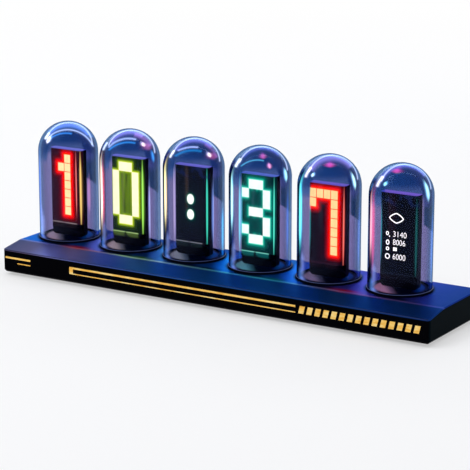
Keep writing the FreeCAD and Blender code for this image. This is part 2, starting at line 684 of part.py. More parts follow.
def make_disc(number):
    """Clear disc under a display, held up by its flange, with a slot for the display's tongue."""
    x = dome_x(number)
    disc = post(x, AXIS_Y, FLANGE_UNDER_Z, DISC_TOP_Z, DISC_RADIUS)
    disc = disc.makeChamfer(DISC_CHAMFER, [e for e in disc.Edges if near(e.BoundBox.ZMin, DISC_TOP_Z)])
    disc = disc.fuse(post(x, AXIS_Y, FLANGE_UNDER_Z, DECK_UNDER_Z, DISC_RADIUS + DISC_FLANGE))
    half = TAB_WIDTH / 2 + POCKET_CLEAR
    depth = CARRIER_THICKNESS / 2 + POCKET_CLEAR
    slot = block(x - half, x + half, CARRIER_MID_Y - depth, CARRIER_MID_Y + depth,
                 FLANGE_UNDER_Z, DISC_TOP_Z)
    return disc.cut(slot).removeSplitter()


def make_dome(number):
    """Clear glass dome: a straight tube with a half-round crown, open below."""
    outer = GLASS_RADIUS
    inner = BORE_RADIUS
    z = DOME_CENTRE_Z
    part = math.sqrt(0.5)

    def point(r, height):
        return FreeCAD.Vector(r, 0, height)

    edges = [Part.LineSegment(point(inner, DECK_Z), point(outer, DECK_Z)).toShape(),
             Part.LineSegment(point(outer, DECK_Z), point(outer, z)).toShape(),
             Part.Arc(point(outer, z), point(outer * part, z + outer * part), point(0, z + outer)).toShape(),
             Part.LineSegment(point(0, z + outer), point(0, z + inner)).toShape(),
             Part.Arc(point(0, z + inner), point(inner * part, z + inner * part), point(inner, z)).toShape(),
             Part.LineSegment(point(inner, z), point(inner, DECK_Z)).toShape()]
    return turned(edges, dome_x(number), AXIS_Y)


def make_display_glass(number):
    """Front glass of a display, with rounded upright edges."""
    x = dome_x(number)
    half = DISPLAY_WIDTH / 2
    pane = block(x - half, x + half, PANE_Y, HOUSING_Y, DISPLAY_GLASS_Z, DISPLAY_TOP_Z)
    return round_edges(pane, DISPLAY_GLASS_ROUND,
                       lambda edge: runs_along(edge, 2) and near(edge.BoundBox.YMax, PANE_Y))


def chin_notch(x):
    """Wedge cut that splits the sloped chin in two, wider below."""
    low = CHIN_Z - CHIN_NOTCH_DEPTH
    high = DISPLAY_GLASS_Z - CHIN_LEDGE
    wedge = front_profile([(x - CHIN_NOTCH / 2, low), (x + CHIN_NOTCH / 2, low),
                           (x + CHIN_NOTCH_TOP / 2, high), (x - CHIN_NOTCH_TOP / 2, high)], PANE_Y, STAND_Y)
    slope = STAND_SETBACK / (high - CHIN_Z)
    inner = PANE_Y + CHIN_NOTCH_DEPTH
    keep = side_profile([(inner, high), (REAR_Y, high), (REAR_Y, low),
                         (inner + slope * (high - low), low)], x - CHIN_NOTCH, x + CHIN_NOTCH)
    return wedge.cut(keep)


def make_display_housing(number):
    """Black housing of a display: back, sides, sloped chin and a foot that stands on the disc."""
    x = dome_x(number)
    half = DISPLAY_WIDTH / 2
    section = [(HOUSING_Y, DISPLAY_TOP_Z), (REAR_Y, DISPLAY_TOP_Z), (REAR_Y, DISC_TOP_Z),
               (STAND_Y, DISC_TOP_Z), (STAND_Y, CHIN_Z), (PANE_Y, DISPLAY_GLASS_Z - CHIN_LEDGE),
               (PANE_Y, DISPLAY_GLASS_Z), (HOUSING_Y, DISPLAY_GLASS_Z)]
    body = side_profile(section, x - half, x + half)
    front = rounded_block(x - half, x + half, PANE_Y, REAR_Y + DISPLAY_GLASS_ROUND,
                          DISC_TOP_Z, DISPLAY_GLASS_Z, DISPLAY_GLASS_ROUND)
    behind_glass = block(x - half, x + half, HOUSING_Y, REAR_Y, DISC_TOP_Z, DISPLAY_TOP_Z)
    height = DISPLAY_TOP_Z - DISC_TOP_Z + DISPLAY_CORNER
    foot_corners = rounded_bar(x, DISC_TOP_Z + height / 2, PANE_Y, REAR_Y,
                               DISPLAY_WIDTH, height, DISPLAY_CORNER)
    body = body.common(front.fuse(behind_glass)).common(foot_corners)
    body = body.cut(chin_notch(x))
    panel_half = PANEL_WIDTH / 2 + POCKET_CLEAR
    panel_z = DISPLAY_GLASS_Z + PANEL_LIFT
    pocket = block(x - panel_half, x + panel_half, HOUSING_Y, CARRIER_Y,
                   panel_z, panel_z + PANEL_HEIGHT + POCKET_CLEAR)
    carrier_half = CARRIER_WIDTH / 2 + POCKET_CLEAR
    carrier_pocket = block(x - carrier_half, x + carrier_half, CARRIER_Y, CARRIER_Y + CARRIER_THICKNESS,
                           DISC_TOP_Z, DISPLAY_GLASS_Z + CARRIER_REACH + POCKET_CLEAR)
    return body.cut(pocket).cut(carrier_pocket).removeSplitter()


def make_display_panel(number):
    """Colour screen in the housing's pocket, behind the glass."""
    x = dome_x(number)
    half = PANEL_WIDTH / 2
    z = DISPLAY_GLASS_Z + PANEL_LIFT
    return block(x - half, x + half, PANEL_Y, CARRIER_Y, z, z + PANEL_HEIGHT)


def make_display_carriers():
    """Upright boards behind the screens, each with a tongue down to its socket."""
    carriers = []
    for number in range(DOME_COUNT):
        x = dome_x(number)
        half = CARRIER_WIDTH / 2
        y1 = CARRIER_Y + CARRIER_THICKNESS
        board = block(x - half, x + half, CARRIER_Y, y1, DISC_TOP_Z, DISPLAY_GLASS_Z + CARRIER_REACH)
        tab = block(x - TAB_WIDTH / 2, x + TAB_WIDTH / 2, CARRIER_Y, y1, TAB_Z, DISC_TOP_Z)
        carriers.append(board.fuse(tab).removeSplitter())
    return Part.makeCompound(carriers)


def inlay(points):
    """Thin gold strip let into the front face; points give X from the left end and drop."""
    top = EDGE_Z - INLAY_DROP
    corners = [(LEFT_X + x, top - drop) for x, drop in points]
    return front_profile(corners, FRONT_Y, FRONT_Y + INLAY_DEPTH)


def strip(x0, x1, drop, thickness):
    return inlay([(x0, drop), (x1, drop), (x1, drop + thickness), (x0, drop + thickness)])


def bar_start(number):
    """Top left corner of a slanted bar, from the left end of the clock."""
    last = BASE_LENGTH - BARS_FROM_RIGHT - BAR_WIDTH
    return last - (BAR_COUNT - 1 - number) * (BAR_WIDTH + BAR_GAP)


def make_gold_lines():
    """Two short lines at the left, and a long frame that opens towards the bars."""
    end = bar_start(0) - BAR_LEAN - BAR_GAP
    thin_drop = INLAY_HEIGHT - THIN_LINE
    left = strip(CORNER_RADIUS, LEFT_LINE_END, 0, THICK_LINE)
    left_thin = strip(LEFT_THIN_START, LEFT_LINE_END, LEFT_THIN_DROP, THIN_LINE)
    frame = join([strip(FRAME_START, FRAME_START + FRAME_END_WIDTH, 0, INLAY_HEIGHT),
                  strip(FRAME_START, end, 0, THICK_LINE),
                  strip(FRAME_START, end, thin_drop, THIN_LINE)])
    return Part.makeCompound([left, left_thin, frame])


def make_gold_bars():
    """Row of slanted bars at the right of the front face."""
    bars = []
    for number in range(BAR_COUNT):
        x = bar_start(number)
        bars.append(inlay([(x, 0), (x + BAR_WIDTH, 0), (x + BAR_WIDTH - BAR_LEAN, INLAY_HEIGHT),
                           (x - BAR_LEAN, INLAY_HEIGHT)]))
    return Part.makeCompound(bars)


def save(name, shape):
    shape.exportStep(os.path.join("parts", name + ".step"))


def main():
    os.makedirs("parts", exist_ok=True)
    save("top_cover", make_top_cover())
    save("lower_case", make_lower_case())
    save("rear_panel", make_rear_panel())
    save("gold_lines", make_gold_lines())
    save("gold_bars", make_gold_bars())
    save("rubber_feet", make_feet())
    save("case_screws", make_case_screws())
    save("main_board", make_main_board())
    save("board_screws", make_board_screws())
    save("controller_module", make_controller())
    save("coin_cell", make_coin_cell())
    save("coin_cell_holder", make_cell_holder())
    save("display_sockets", make_sockets())
    save("colour_lights", make_lights())
    save("push_switches", make_switches())
    save("usb_socket", make_usb_socket())
    save("display_carriers", make_display_carriers())
    for name, x in zip(BUTTON_NAMES, button_places()):
        save("button_" + name, make_button(x))
    for number in range(DOME_COUNT):
        label = "_" + str(number + 1)
        save("seat_ring" + label, make_ring(number))
        save("light_disc" + label, make_disc(number))
        save("glass_dome" + label, make_dome(number))
        save("display_housing" + label, make_display_housing(number))
        save("display_panel" + label, make_display_panel(number))
        save("display_glass" + label, make_display_glass(number))


main()
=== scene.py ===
"""A digital clock with six glass domes: the finish of its parts, its lit figures, and its studio."""

import math
from dataclasses import dataclass
from functools import reduce

import bmesh
import bpy
from mathutils import Euler, Matrix, Vector


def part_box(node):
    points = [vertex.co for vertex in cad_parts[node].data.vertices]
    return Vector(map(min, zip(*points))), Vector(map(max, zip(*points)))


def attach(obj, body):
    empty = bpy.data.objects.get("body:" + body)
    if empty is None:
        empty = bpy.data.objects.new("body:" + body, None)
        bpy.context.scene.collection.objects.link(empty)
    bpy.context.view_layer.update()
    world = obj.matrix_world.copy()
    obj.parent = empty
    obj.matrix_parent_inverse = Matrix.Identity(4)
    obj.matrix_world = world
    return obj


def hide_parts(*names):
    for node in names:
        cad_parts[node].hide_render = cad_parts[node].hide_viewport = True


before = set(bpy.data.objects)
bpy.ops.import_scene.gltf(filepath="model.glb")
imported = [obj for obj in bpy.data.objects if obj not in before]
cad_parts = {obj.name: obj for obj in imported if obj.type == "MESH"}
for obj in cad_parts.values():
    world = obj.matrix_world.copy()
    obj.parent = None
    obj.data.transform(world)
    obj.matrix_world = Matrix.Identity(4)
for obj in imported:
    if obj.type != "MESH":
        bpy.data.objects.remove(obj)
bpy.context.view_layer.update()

bl_info = {
    "name": "Dome Clock",
    "version": (1, 0, 0),
    "blender": (4, 5, 0),
    "location": "3D View > Sidebar > Dome Clock",
    "description": "Dresses a clock with six glass domes: glass, lit figures, finishes and studio",
    "category": "Object",
}

# Sizes below are in millimetres, and are turned into metres where a mesh or a lamp is made.
MM = 0.001
DEGREES = 180.0 / math.pi
DOME_NUMBERS = range(1, 7)
# The lowest and the highest corner of each node
CORNERS = {node: [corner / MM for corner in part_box(node)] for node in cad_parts}


def low(node):
    """The lowest corner of a node in millimetres."""
    return CORNERS[node][0]


def high(node):
    """The highest corner of a node in millimetres."""
    return CORNERS[node][1]


def dome_axis(number):
    """The place of a dome's upright axis."""
    centre = (low(f"glass_dome_{number}") + high(f"glass_dome_{number}")) / 2
    return centre.x, centre.y


DECK_Z = high("top_cover").z
CASE_LEFT = low("top_cover").x
CASE_RIGHT = high("top_cover").x
FRONT_Y = low("top_cover").y
DISPLAY_Y = low("display_glass_1").y
DISPLAY_TOP_Z = high("display_glass_1").z
RING_TOP_Z = high("seat_ring_1").z
# Where the deck turns into the sloped band, and the height of the band's front edge
CREASE_Y = -11.95
EDGE_Z = 12.9
BLACK = (0.0, 0.0, 0.0)

# The grid of cells that the figures are made of
ROWS = 7
CELL_HEIGHT = 4.44
GRID_LOW = 11.6
CELL_PROUD = 0.04
CELL_DEPTH = 0.3


def shade(red, green, blue):
    """A colour as it shows on a screen, from 0 to 255, as the linear one that shaders take."""
    shown = (c / 255 for c in (red, green, blue))
    return tuple(c / 12.92 if c <= 0.04045 else ((c + 0.055) / 1.055) ** 2.4 for c in shown)


def shades(*stops):
    """Stops of (place, colour) from numbers: a place, then a colour as it shows on a screen."""
    return tuple((place, shade(*colour)) for place, *colour in stops)


@dataclass(frozen=True)
class Display:
    """What one display shows and how it glows, in colours as they show through the glass.

    Each block is (first column, first row, columns, rows).
    """

    grid_left: float
    lit: tuple
    glow: tuple
    # The painted highlight along the rounded right edge, and its width
    streak: tuple
    streak_width: float
    # The painted highlight on the top face
    top_highlight: tuple
    # Painted light that the chin catches from the display, along its upper edge and on its facets
    chin_edge_light: tuple
    chin: tuple
    blocks: tuple = ()
    pitch: float = 3.9
    gap: float = 0.0
    inside: tuple = BLACK
    # A painted highlight along the left edge
    left_line: tuple = BLACK


DISPLAYS = {
    1: Display(
        blocks=((2, 0, 1, 7), (1, 1, 1, 1)),
        grid_left=-8.4,
        gap=0.3,
        lit=shade(255, 228, 168),
        glow=shades(
            (0.0, 255, 50, 0), (0.7, 255, 0, 0), (1.5, 190, 0, 0), (2.4, 96, 0, 2),
            (4.0, 46, 3, 14), (8.0, 34, 10, 28),
        ),
        streak=shade(255, 216, 120),
        streak_width=0.34,
        top_highlight=shade(122, 125, 228),
        chin_edge_light=shade(150, 138, 140),
        chin=shade(26, 16, 20),
    ),
    2: Display(
        blocks=((1, 0, 2, 1), (0, 1, 1, 5), (3, 1, 1, 5), (1, 6, 2, 1)),
        grid_left=-8.46,
        pitch=3.82,
        lit=shade(255, 255, 214),
        glow=shades(
            (0.0, 225, 240, 70), (0.6, 130, 165, 10), (1.5, 38, 62, 4), (3.0, 14, 32, 6),
            (8.0, 6, 20, 8),
        ),
        inside=shade(96, 132, 20),
        streak=shade(170, 250, 100),
        streak_width=0.34,
        top_highlight=shade(118, 122, 225),
        chin_edge_light=shade(170, 205, 130),
        chin=shade(72, 96, 44),
    ),
    3: Display(
        grid_left=-8.4,
        lit=shade(255, 255, 255),
        glow=shades((0.0, 30, 140, 120), (0.5, 4, 46, 44), (1.8, 4, 14, 20), (8.0, 3, 7, 14)),
        streak=shade(70, 235, 205),
        streak_width=0.26,
        top_highlight=shade(115, 112, 222),
        chin_edge_light=shade(125, 130, 145),
        chin=shade(20, 32, 36),
    ),
    4: Display(
        blocks=(
            (1, 0, 2, 1), (0, 1, 1, 1), (3, 1, 1, 2), (1, 3, 2, 1), (3, 4, 1, 2), (0, 5, 1, 1), (1, 6, 2, 1),
        ),
        grid_left=-8.48,
        pitch=3.87,
        lit=shade(240, 255, 255),
        glow=shades(
            (0.0, 90, 240, 215), (0.6, 0, 150, 130), (1.5, 0, 84, 76), (3.0, 0, 44, 46),
            (8.0, 0, 22, 28),
        ),
        inside=shade(0, 66, 66),
        streak=shade(90, 240, 215),
        streak_width=0.22,
        left_line=shade(60, 190, 215),
        top_highlight=shade(92, 118, 222),
        chin_edge_light=shade(120, 215, 200),
        chin=shade(10, 92, 92),
    ),
    5: Display(
        blocks=((0, 0, 4, 1), (0, 1, 1, 1), (3, 1, 1, 6)),
        grid_left=-9.1,
        pitch=3.78,
        gap=0.3,
        lit=shade(255, 214, 150),
        glow=shades(
            (0.0, 255, 50, 0), (0.8, 235, 0, 0), (1.8, 130, 0, 0), (3.2, 28, 0, 8),
            (8.0, 9, 3, 12),
        ),
        streak=shade(255, 120, 105),
        streak_width=0.25,
        left_line=shade(20, 150, 155),
        top_highlight=shade(118, 100, 215),
        chin_edge_light=shade(56, 24, 40),
        chin=shade(20, 5, 12),
    ),
    6: Display(
        grid_left=-8.6,
        lit=(1.3, 1.3, 1.36),
        glow=shades((0.0, 3, 6, 12), (8.0, 2, 5, 10)),
        streak=shade(20, 84, 84),
        streak_width=0.32,
        left_line=shade(40, 150, 175),
        top_highlight=shade(128, 98, 222),
        chin_edge_light=shade(24, 30, 44),
        chin=shade(8, 10, 18),
    ),
}

# Two upright ovals between the hours and the minutes: height of each centre above the deck, and half sizes
DOT_HEIGHTS = (28.9, 21.3)
DOT_X = -0.15
DOT_HALF_WIDTH = 1.95
DOT_HALF_HEIGHT = 2.5
# Half the upright line in each dot that its glow spreads from
DOT_GLOW_HALF = 0.5


class GlassSettings(bpy.types.PropertyGroup):
    """Sizes and tints of the six domes."""

    wall: bpy.props.FloatProperty(
        name="Wall", description="Thickness of the glass", default=1.2 * MM, min=0.5 * MM, max=2.5 * MM,
        precision=4, unit="LENGTH",
    )
    steps: bpy.props.IntProperty(
        name="Steps", description="Faces round each dome", default=128, min=24, max=256,
    )
    side_tint: bpy.props.FloatVectorProperty(
        name="Side", description="Tint of the upright wall", subtype="COLOR", size=3, min=0, max=1,
        default=(0.90, 0.64, 0.79),
    )
    film_tint: bpy.props.FloatVectorProperty(
        name="Film", description="Tint of the film on the glass, deeper where it is seen aslant",
        subtype="COLOR", size=3, min=0, max=1, default=(0.74, 0.83, 0.90),
    )


class FigureSettings(bpy.types.PropertyGroup):
    """How brightly the displays shine."""

    figure_light: bpy.props.FloatProperty(
        name="Figures", description="Brightness of the lit cells", default=1.05, min=0, max=20,
    )
    glow_light: bpy.props.FloatProperty(
        name="Glow", description="Brightness of the glow round the figures", default=1.0, min=0, max=20,
    )
    streak_light: bpy.props.FloatProperty(
        name="Streaks", description="Brightness of the light along the rounded edges", default=1.3, min=0,
        max=20,
    )
    glint_light: bpy.props.FloatProperty(
        name="Glints", description="Brightness of the coloured light in the domes' walls", default=1.0, min=0,
        max=20,
    )


class StageSettings(bpy.types.PropertyGroup):
    """The camera, the lamps and the floor."""

    camera_place: bpy.props.FloatVectorProperty(
        name="Camera", description="Where the camera stands", size=3, subtype="TRANSLATION", unit="LENGTH",
        default=(0.4982, -0.80116, 0.26874),
    )
    camera_azimuth: bpy.props.FloatProperty(
        name="Azimuth", description="Turn of the camera to the clock's right", subtype="ANGLE",
        default=math.radians(31.79),
    )
    camera_elevation: bpy.props.FloatProperty(
        name="Elevation", description="How far the camera looks down", subtype="ANGLE",
        default=math.radians(14.19),
    )
    lens: bpy.props.FloatProperty(
        name="Lens", description="Focal length in millimetres", default=156.29, min=20, max=400,
    )
    fill: bpy.props.FloatProperty(
        name="Room", description="Level of the even light from all sides", default=0.62, min=0, max=2,
    )
    floor_colour: bpy.props.FloatVectorProperty(
        name="Floor", description="Colour of the floor", subtype="COLOR", size=3, min=0, max=1,
        default=(0.86, 0.87, 0.9),
    )


class Nodes:
    """Short ways to add nodes to one tree."""

    def __init__(self, tree):
        self.tree = tree

    def add(self, kind, inputs=None, **settings):
        """Adds a node, gives it its settings, and fills or links its inputs."""
        made = self.tree.nodes.new(kind)
        for name, value in settings.items():
            setattr(made, name, value)
        for key, value in (inputs or {}).items():
            if isinstance(value, bpy.types.NodeSocket):
                self.tree.links.new(value, made.inputs[key])
            elif value is not None:
                made.inputs[key].default_value = value
        return made

    def math(self, operation, *values, clamp=False):
        """One arithmetic step."""
        values = dict(enumerate(values))
        return self.add("ShaderNodeMath", values, operation=operation, use_clamp=clamp).outputs[0]

    def fold(self, operation, *values):
        """The same step again and again over some values."""
        return reduce(lambda first, second: self.math(operation, first, second), values)

    def times(self, *values):
        """The product of some values."""
        return self.fold("MULTIPLY", *values)

    def minus(self, first, second):
        """One value less another."""
        return self.math("SUBTRACT", first, second)

    def mix(self, factor, first, second, blend="MIX"):
        """A blend of two colours."""
        first, second = (c if isinstance(c, bpy.types.NodeSocket) else (*c, 1.0) for c in (first, second))
        values = {0: factor, 6: first, 7: second}
        return self.add("ShaderNodeMix", values, data_type="RGBA", blend_type=blend).outputs[2]

    def ramp(self, value, stops):
        """A colour for each value from 0 to 1, between stops of (value, colour)."""
        made = self.add("ShaderNodeValToRGB", {0: value})
        elements = made.color_ramp.elements
        while len(elements) < len(stops):
            elements.new(1.0)
        for element, (position, colour) in zip(elements, stops):
            element.position = position
            element.color = (*colour, 1.0)
        return made.outputs[0]

    def share(self, value, start, end, to_start=0.0, to_end=1.0, smooth=True):
        """How far a value is from start to end."""
        kind = "SMOOTHSTEP" if smooth else "LINEAR"
        values = {0: value, 1: start, 2: end, 3: to_start, 4: to_end}
        return self.add("ShaderNodeMapRange", values, interpolation_type=kind, clamp=True).outputs[0]

    def noise(self, vector, scale, detail=2.0, roughness=0.5):
        """Soft random patches."""
        values = {"Vector": vector, "Scale": scale, "Detail": detail, "Roughness": roughness}
        return self.add("ShaderNodeTexNoise", values).outputs["Fac"]

    def effect(self, tree, *values):
        """One of the shared effects, with its inputs filled in their order."""
        return self.add("ShaderNodeGroup", dict(enumerate(values)), node_tree=tree).outputs[0]

    def place(self, centre=(0.0, 0.0, 0.0), stretch=(1.0, 1.0, 1.0)):
        """Millimetres from a centre on the object, as a vector."""
        coordinates = self.add("ShaderNodeTexCoord").outputs["Object"]
        scale = [s / MM for s in stretch]
        shift = [-c * s for c, s in zip(centre, stretch)]
        values = {"Vector": coordinates, "Location": shift, "Scale": scale}
        return self.add("ShaderNodeMapping", values).outputs[0]

    def length(self, across, up):
        """How long the slanting side over two others is."""
        squares = (self.times(value, value) for value in (across, up))
        return self.math("SQRT", self.math("ADD", *squares))

    def dot(self, vector, way):
        """How far a vector goes along a way."""
        values = {0: vector, 1: tuple(way)}
        return self.add("ShaderNodeVectorMath", values, operation="DOT_PRODUCT").outputs["Value"]

    def split(self, vector):
        """The three parts of a vector."""
        return self.add("ShaderNodeSeparateXYZ", {0: vector}).outputs

    def join(self, x=0.0, y=0.0, z=0.0):
        """A vector of three parts."""
        return self.add("ShaderNodeCombineXYZ", {0: x, 1: y, 2: z}).outputs[0]


class Finish(Nodes):
    """A material whose surface is one Principled shader."""

    def __init__(self, name, **sockets):
        self.material = bpy.data.materials.new(name)
        self.material.use_nodes = True
        super().__init__(self.material.node_tree)
        self.shader = self.tree.nodes["Principled BSDF"]
        self.set(**sockets)

    def set(self, **sockets):
        """Fills or links the shader's sockets, with _ for a space in their names."""
        for name, value in sockets.items():
            socket = self.shader.inputs[name.replace("_", " ")]
            if isinstance(value, bpy.types.NodeSocket):
                self.tree.links.new(value, socket)
            elif socket.type == "RGBA":
                socket.default_value = (*value, 1.0)
            else:
                socket.default_value = value


def new_group(name, inputs, output):
    """An empty node group and the ends of its tree. An input without a value takes a vector."""
    tree = bpy.data.node_groups.new(name, "ShaderNodeTree")
    for label, value in inputs.items():
        kind = "NodeSocketVector" if value is None else "NodeSocketFloat"
        socket = tree.interface.new_socket(name=label, in_out="INPUT", socket_type=kind)
        if value is not None:
            socket.default_value = value
    kind = "NodeSocketVector" if output == "Normal" else "NodeSocketFloat"
    tree.interface.new_socket(name=output, in_out="OUTPUT", socket_type=kind)
    nodes = Nodes(tree)
    return nodes, nodes.add("NodeGroupInput").outputs, nodes.add("NodeGroupOutput").inputs[output]


def closed(nodes, value, end):
    """A group's tree, once a value leads to its end."""
    nodes.tree.links.new(value, end)
    return nodes.tree


def make_grain():
    """The normal of fine patchy grain."""
    nodes, start, end = new_group("Fine Grain", {"Vector": None, "Scale": 4.0, "Height": 0.01}, "Normal")
    value = nodes.noise(start["Vector"], start["Scale"], detail=4.0, roughness=0.6)
    height = nodes.times(value, start["Height"])
    bump = nodes.add("ShaderNodeBump", {"Strength": 1.0, "Distance": MM, "Height": height})
    return closed(nodes, bump.outputs[0], end)


def make_span():
    """A mask that is 1 between two values and fades out past them."""
    inputs = {"Value": 0.0, "Low": 0.0, "High": 1.0, "Soft": 0.1}
    nodes, start, end = new_group("Span Mask", inputs, "Mask")
    below = nodes.minus(start["Low"], start["Soft"])
    above = nodes.math("ADD", start["High"], start["Soft"])
    rise = nodes.share(start["Value"], below, start["Low"])
    fall = nodes.share(start["Value"], above, start["High"])
    return closed(nodes, nodes.times(rise, fall), end)


def make_line():
    """A mask that peaks at one value and dies away on both sides."""
    nodes, start, end = new_group("Line Mask", {"Value": 0.0, "Centre": 0.0, "Width": 0.5}, "Mask")
    away = nodes.math("DIVIDE", nodes.minus(start["Value"], start["Centre"]), start["Width"])
    return closed(nodes, nodes.math("EXPONENT", nodes.times(away, away, -1.0)), end)


def make_patch():
    """A mask that is 1 in the middle of a patch, and draws in towards its upper and lower ends."""
    names = ("Across", "Up", "Centre Across", "Centre Up", "Half Width", "Half Height")
    nodes, start, end = new_group("Patch Mask", dict.fromkeys(names, 0.0), "Mask")
    squares = []
    for along, half in (("Across", "Half Width"), ("Up", "Half Height")):
        away = nodes.math("DIVIDE", nodes.minus(start[along], start[f"Centre {along}"]), start[half])
        squares.append(nodes.times(away, away))
    across, up = squares
    up = nodes.times(up, up)
    narrowed = nodes.times(across, nodes.math("MULTIPLY_ADD", up, PATCH_DRAW, 1.0))
    total = nodes.times(nodes.math("ADD", narrowed, up), -1.0)
    return closed(nodes, nodes.math("EXPONENT", total), end)


def make_arc():
    """A mask that is 1 along a part of a circle on two coordinates."""
    names = ("Across", "Up", "Angle", "Centre Across", "Centre Up", "Radius", "Half Width", "Start", "End")
    nodes, start, end = new_group("Arc Mask", dict.fromkeys(names, 0.0), "Mask")
    away = (nodes.minus(start[along], start[f"Centre {along}"]) for along in ("Across", "Up"))
    line = nodes.effect(LINE, nodes.length(*away), start["Radius"], start["Half Width"])
    part = nodes.effect(SPAN, start["Angle"], start["Start"], start["End"], ARC_FADE)
    return closed(nodes, nodes.times(line, part), end)


def make_block_distance():
    """How far a point on a display's front is outside a block of cells."""
    names = ("X", "Z", "Centre X", "Centre Z", "Half Width", "Half Height")
    nodes, start, end = new_group("Block Distance", dict.fromkeys(names, 0.0), "Distance")
    past = []
    for along, half in (("X", "Half Width"), ("Z", "Half Height")):
        away = nodes.math("ABSOLUTE", nodes.minus(start[along], start[f"Centre {along}"]))
        past.append(nodes.math("MAXIMUM", nodes.minus(away, start[half]), 0.0))
    return closed(nodes, nodes.length(*past), end)


def make_smudges():
    """Faint wipe marks and dust: a value round 0 that shifts roughness."""
    nodes, start, end = new_group("Smudges", {"Vector": None, "Scale": 0.05, "Amount": 0.05}, "Value")
    patches = nodes.noise(start["Vector"], start["Scale"], detail=5.0, roughness=0.65)
    return closed(nodes, nodes.times(nodes.minus(patches, 0.5), start["Amount"]), end)


# How much a patch draws in at its ends, and the degrees over which an arc fades at its own
PATCH_DRAW = 2.5
ARC_FADE = 5.0

GRAIN = make_grain()
SPAN = make_span()
LINE = make_line()
PATCH = make_patch()
ARC = make_arc()
BLOCK_DISTANCE = make_block_distance()
SMUDGES = make_smudges()


def wiped(finish, vector, roughness, amount=0.12, scale=0.08):
    """A roughness with faint smudges."""
    return finish.math("ADD", finish.effect(SMUDGES, vector, scale, amount), roughness, clamp=True)


def skin(finish, vector, grain, height, roughness, scale=0.08, **sockets):
    """Gives a finish fine grain of a scale and a height, faint smudges of another scale, and its sockets."""
    normal = finish.effect(GRAIN, vector, grain, height)
    finish.set(Roughness=wiped(finish, vector, roughness, scale=scale), Normal=normal, **sockets)
    return finish


def give(node, finish):
    """Gives a CAD node its finish."""
    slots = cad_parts[node].data.materials
    slots.clear()
    slots.append(finish.material)


def add_piece(name, bm, finish, body, smooth=True):
    """Makes a finished piece of a bmesh in millimetres, riding on a body."""
    bmesh.ops.scale(bm, vec=(MM, MM, MM), verts=bm.verts)
    for face in bm.faces:
        face.smooth = smooth
    mesh = bpy.data.meshes.new(name)
    bm.to_mesh(mesh)
    bm.free()
    mesh.materials.append(finish.material)
    piece = bpy.data.objects.new(name, mesh)
    bpy.context.scene.collection.objects.link(piece)
    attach(piece, body)
    return piece


# The case

DECK_STOPS = shades(
    (0.00, 6, 104, 206), (0.05, 0, 96, 196), (0.10, 0, 82, 178), (0.24, 20, 66, 150), (0.40, 16, 58, 140),
    (0.52, 0, 96, 188), (0.62, 16, 92, 178), (0.72, 72, 64, 172), (0.88, 62, 58, 160),
    (1.00, 26, 44, 120),
)
BAND_STOPS = shades(
    (0.00, 70, 62, 86), (0.06, 86, 74, 102), (0.12, 112, 112, 168),
    (0.20, 98, 108, 178), (0.28, 66, 96, 176), (0.38, 38, 84, 162),
    (0.50, 20, 77, 142), (0.78, 12, 60, 126), (1.00, 14, 46, 104),
)
# Colours of the painted highlight along the crease, from the left end of the case to the right
CREASE_HIGHLIGHT_STOPS = shades(
    (0.00, 100, 110, 170), (0.10, 110, 106, 164), (0.15, 210, 115, 130), (0.21, 180, 150, 170),
    (0.26, 190, 232, 200), (0.36, 180, 220, 220), (0.50, 90, 190, 210), (0.64, 70, 180, 215),
    (0.78, 160, 110, 180), (1.00, 60, 70, 150),
)
# Light on the deck to the right of each dome, which starts along a slanting line
GAP_LIGHTS = {
    1: shade(113, 123, 218), 2: shade(71, 130, 206), 3: shade(10, 127, 226), 4: shade(39, 115, 228),
    5: shade(85, 76, 186),
}
GAP_SLANT = 0.54
GAP_EDGE = (-5.4, 1.1)
GAP_SPAN = (-4.0, 12.5, 3.5)
# Shade on the deck in front of each dome: its ends from the dome's axis and their softness, and its reach
FRONT_SHADE = (-3.5, 9.5, 4.0)
FRONT_REACH = (13.0, 15.5)
# The painted shadow round the foot of each ring on the deck: its radius and width
FOOT_SHADOW = (15.6, 0.9)
# Light of each display on the deck, just in front of its ring
DECK_GLOWS = {
    1: shade(190, 20, 34), 2: shade(70, 120, 24), 3: shade(4, 40, 60), 4: shade(0, 120, 130),
    5: shade(200, 16, 60),
}
GLOW_REACH_X = 17.8
GLOW_Y = -10.2
GLOW_HALF_X = 5.8
GLOW_HALF_Y = 1.9
CREASE_HIGHLIGHT_WIDTH = 0.8
FAR_TINT = (0.35, 0.48, 0.60)


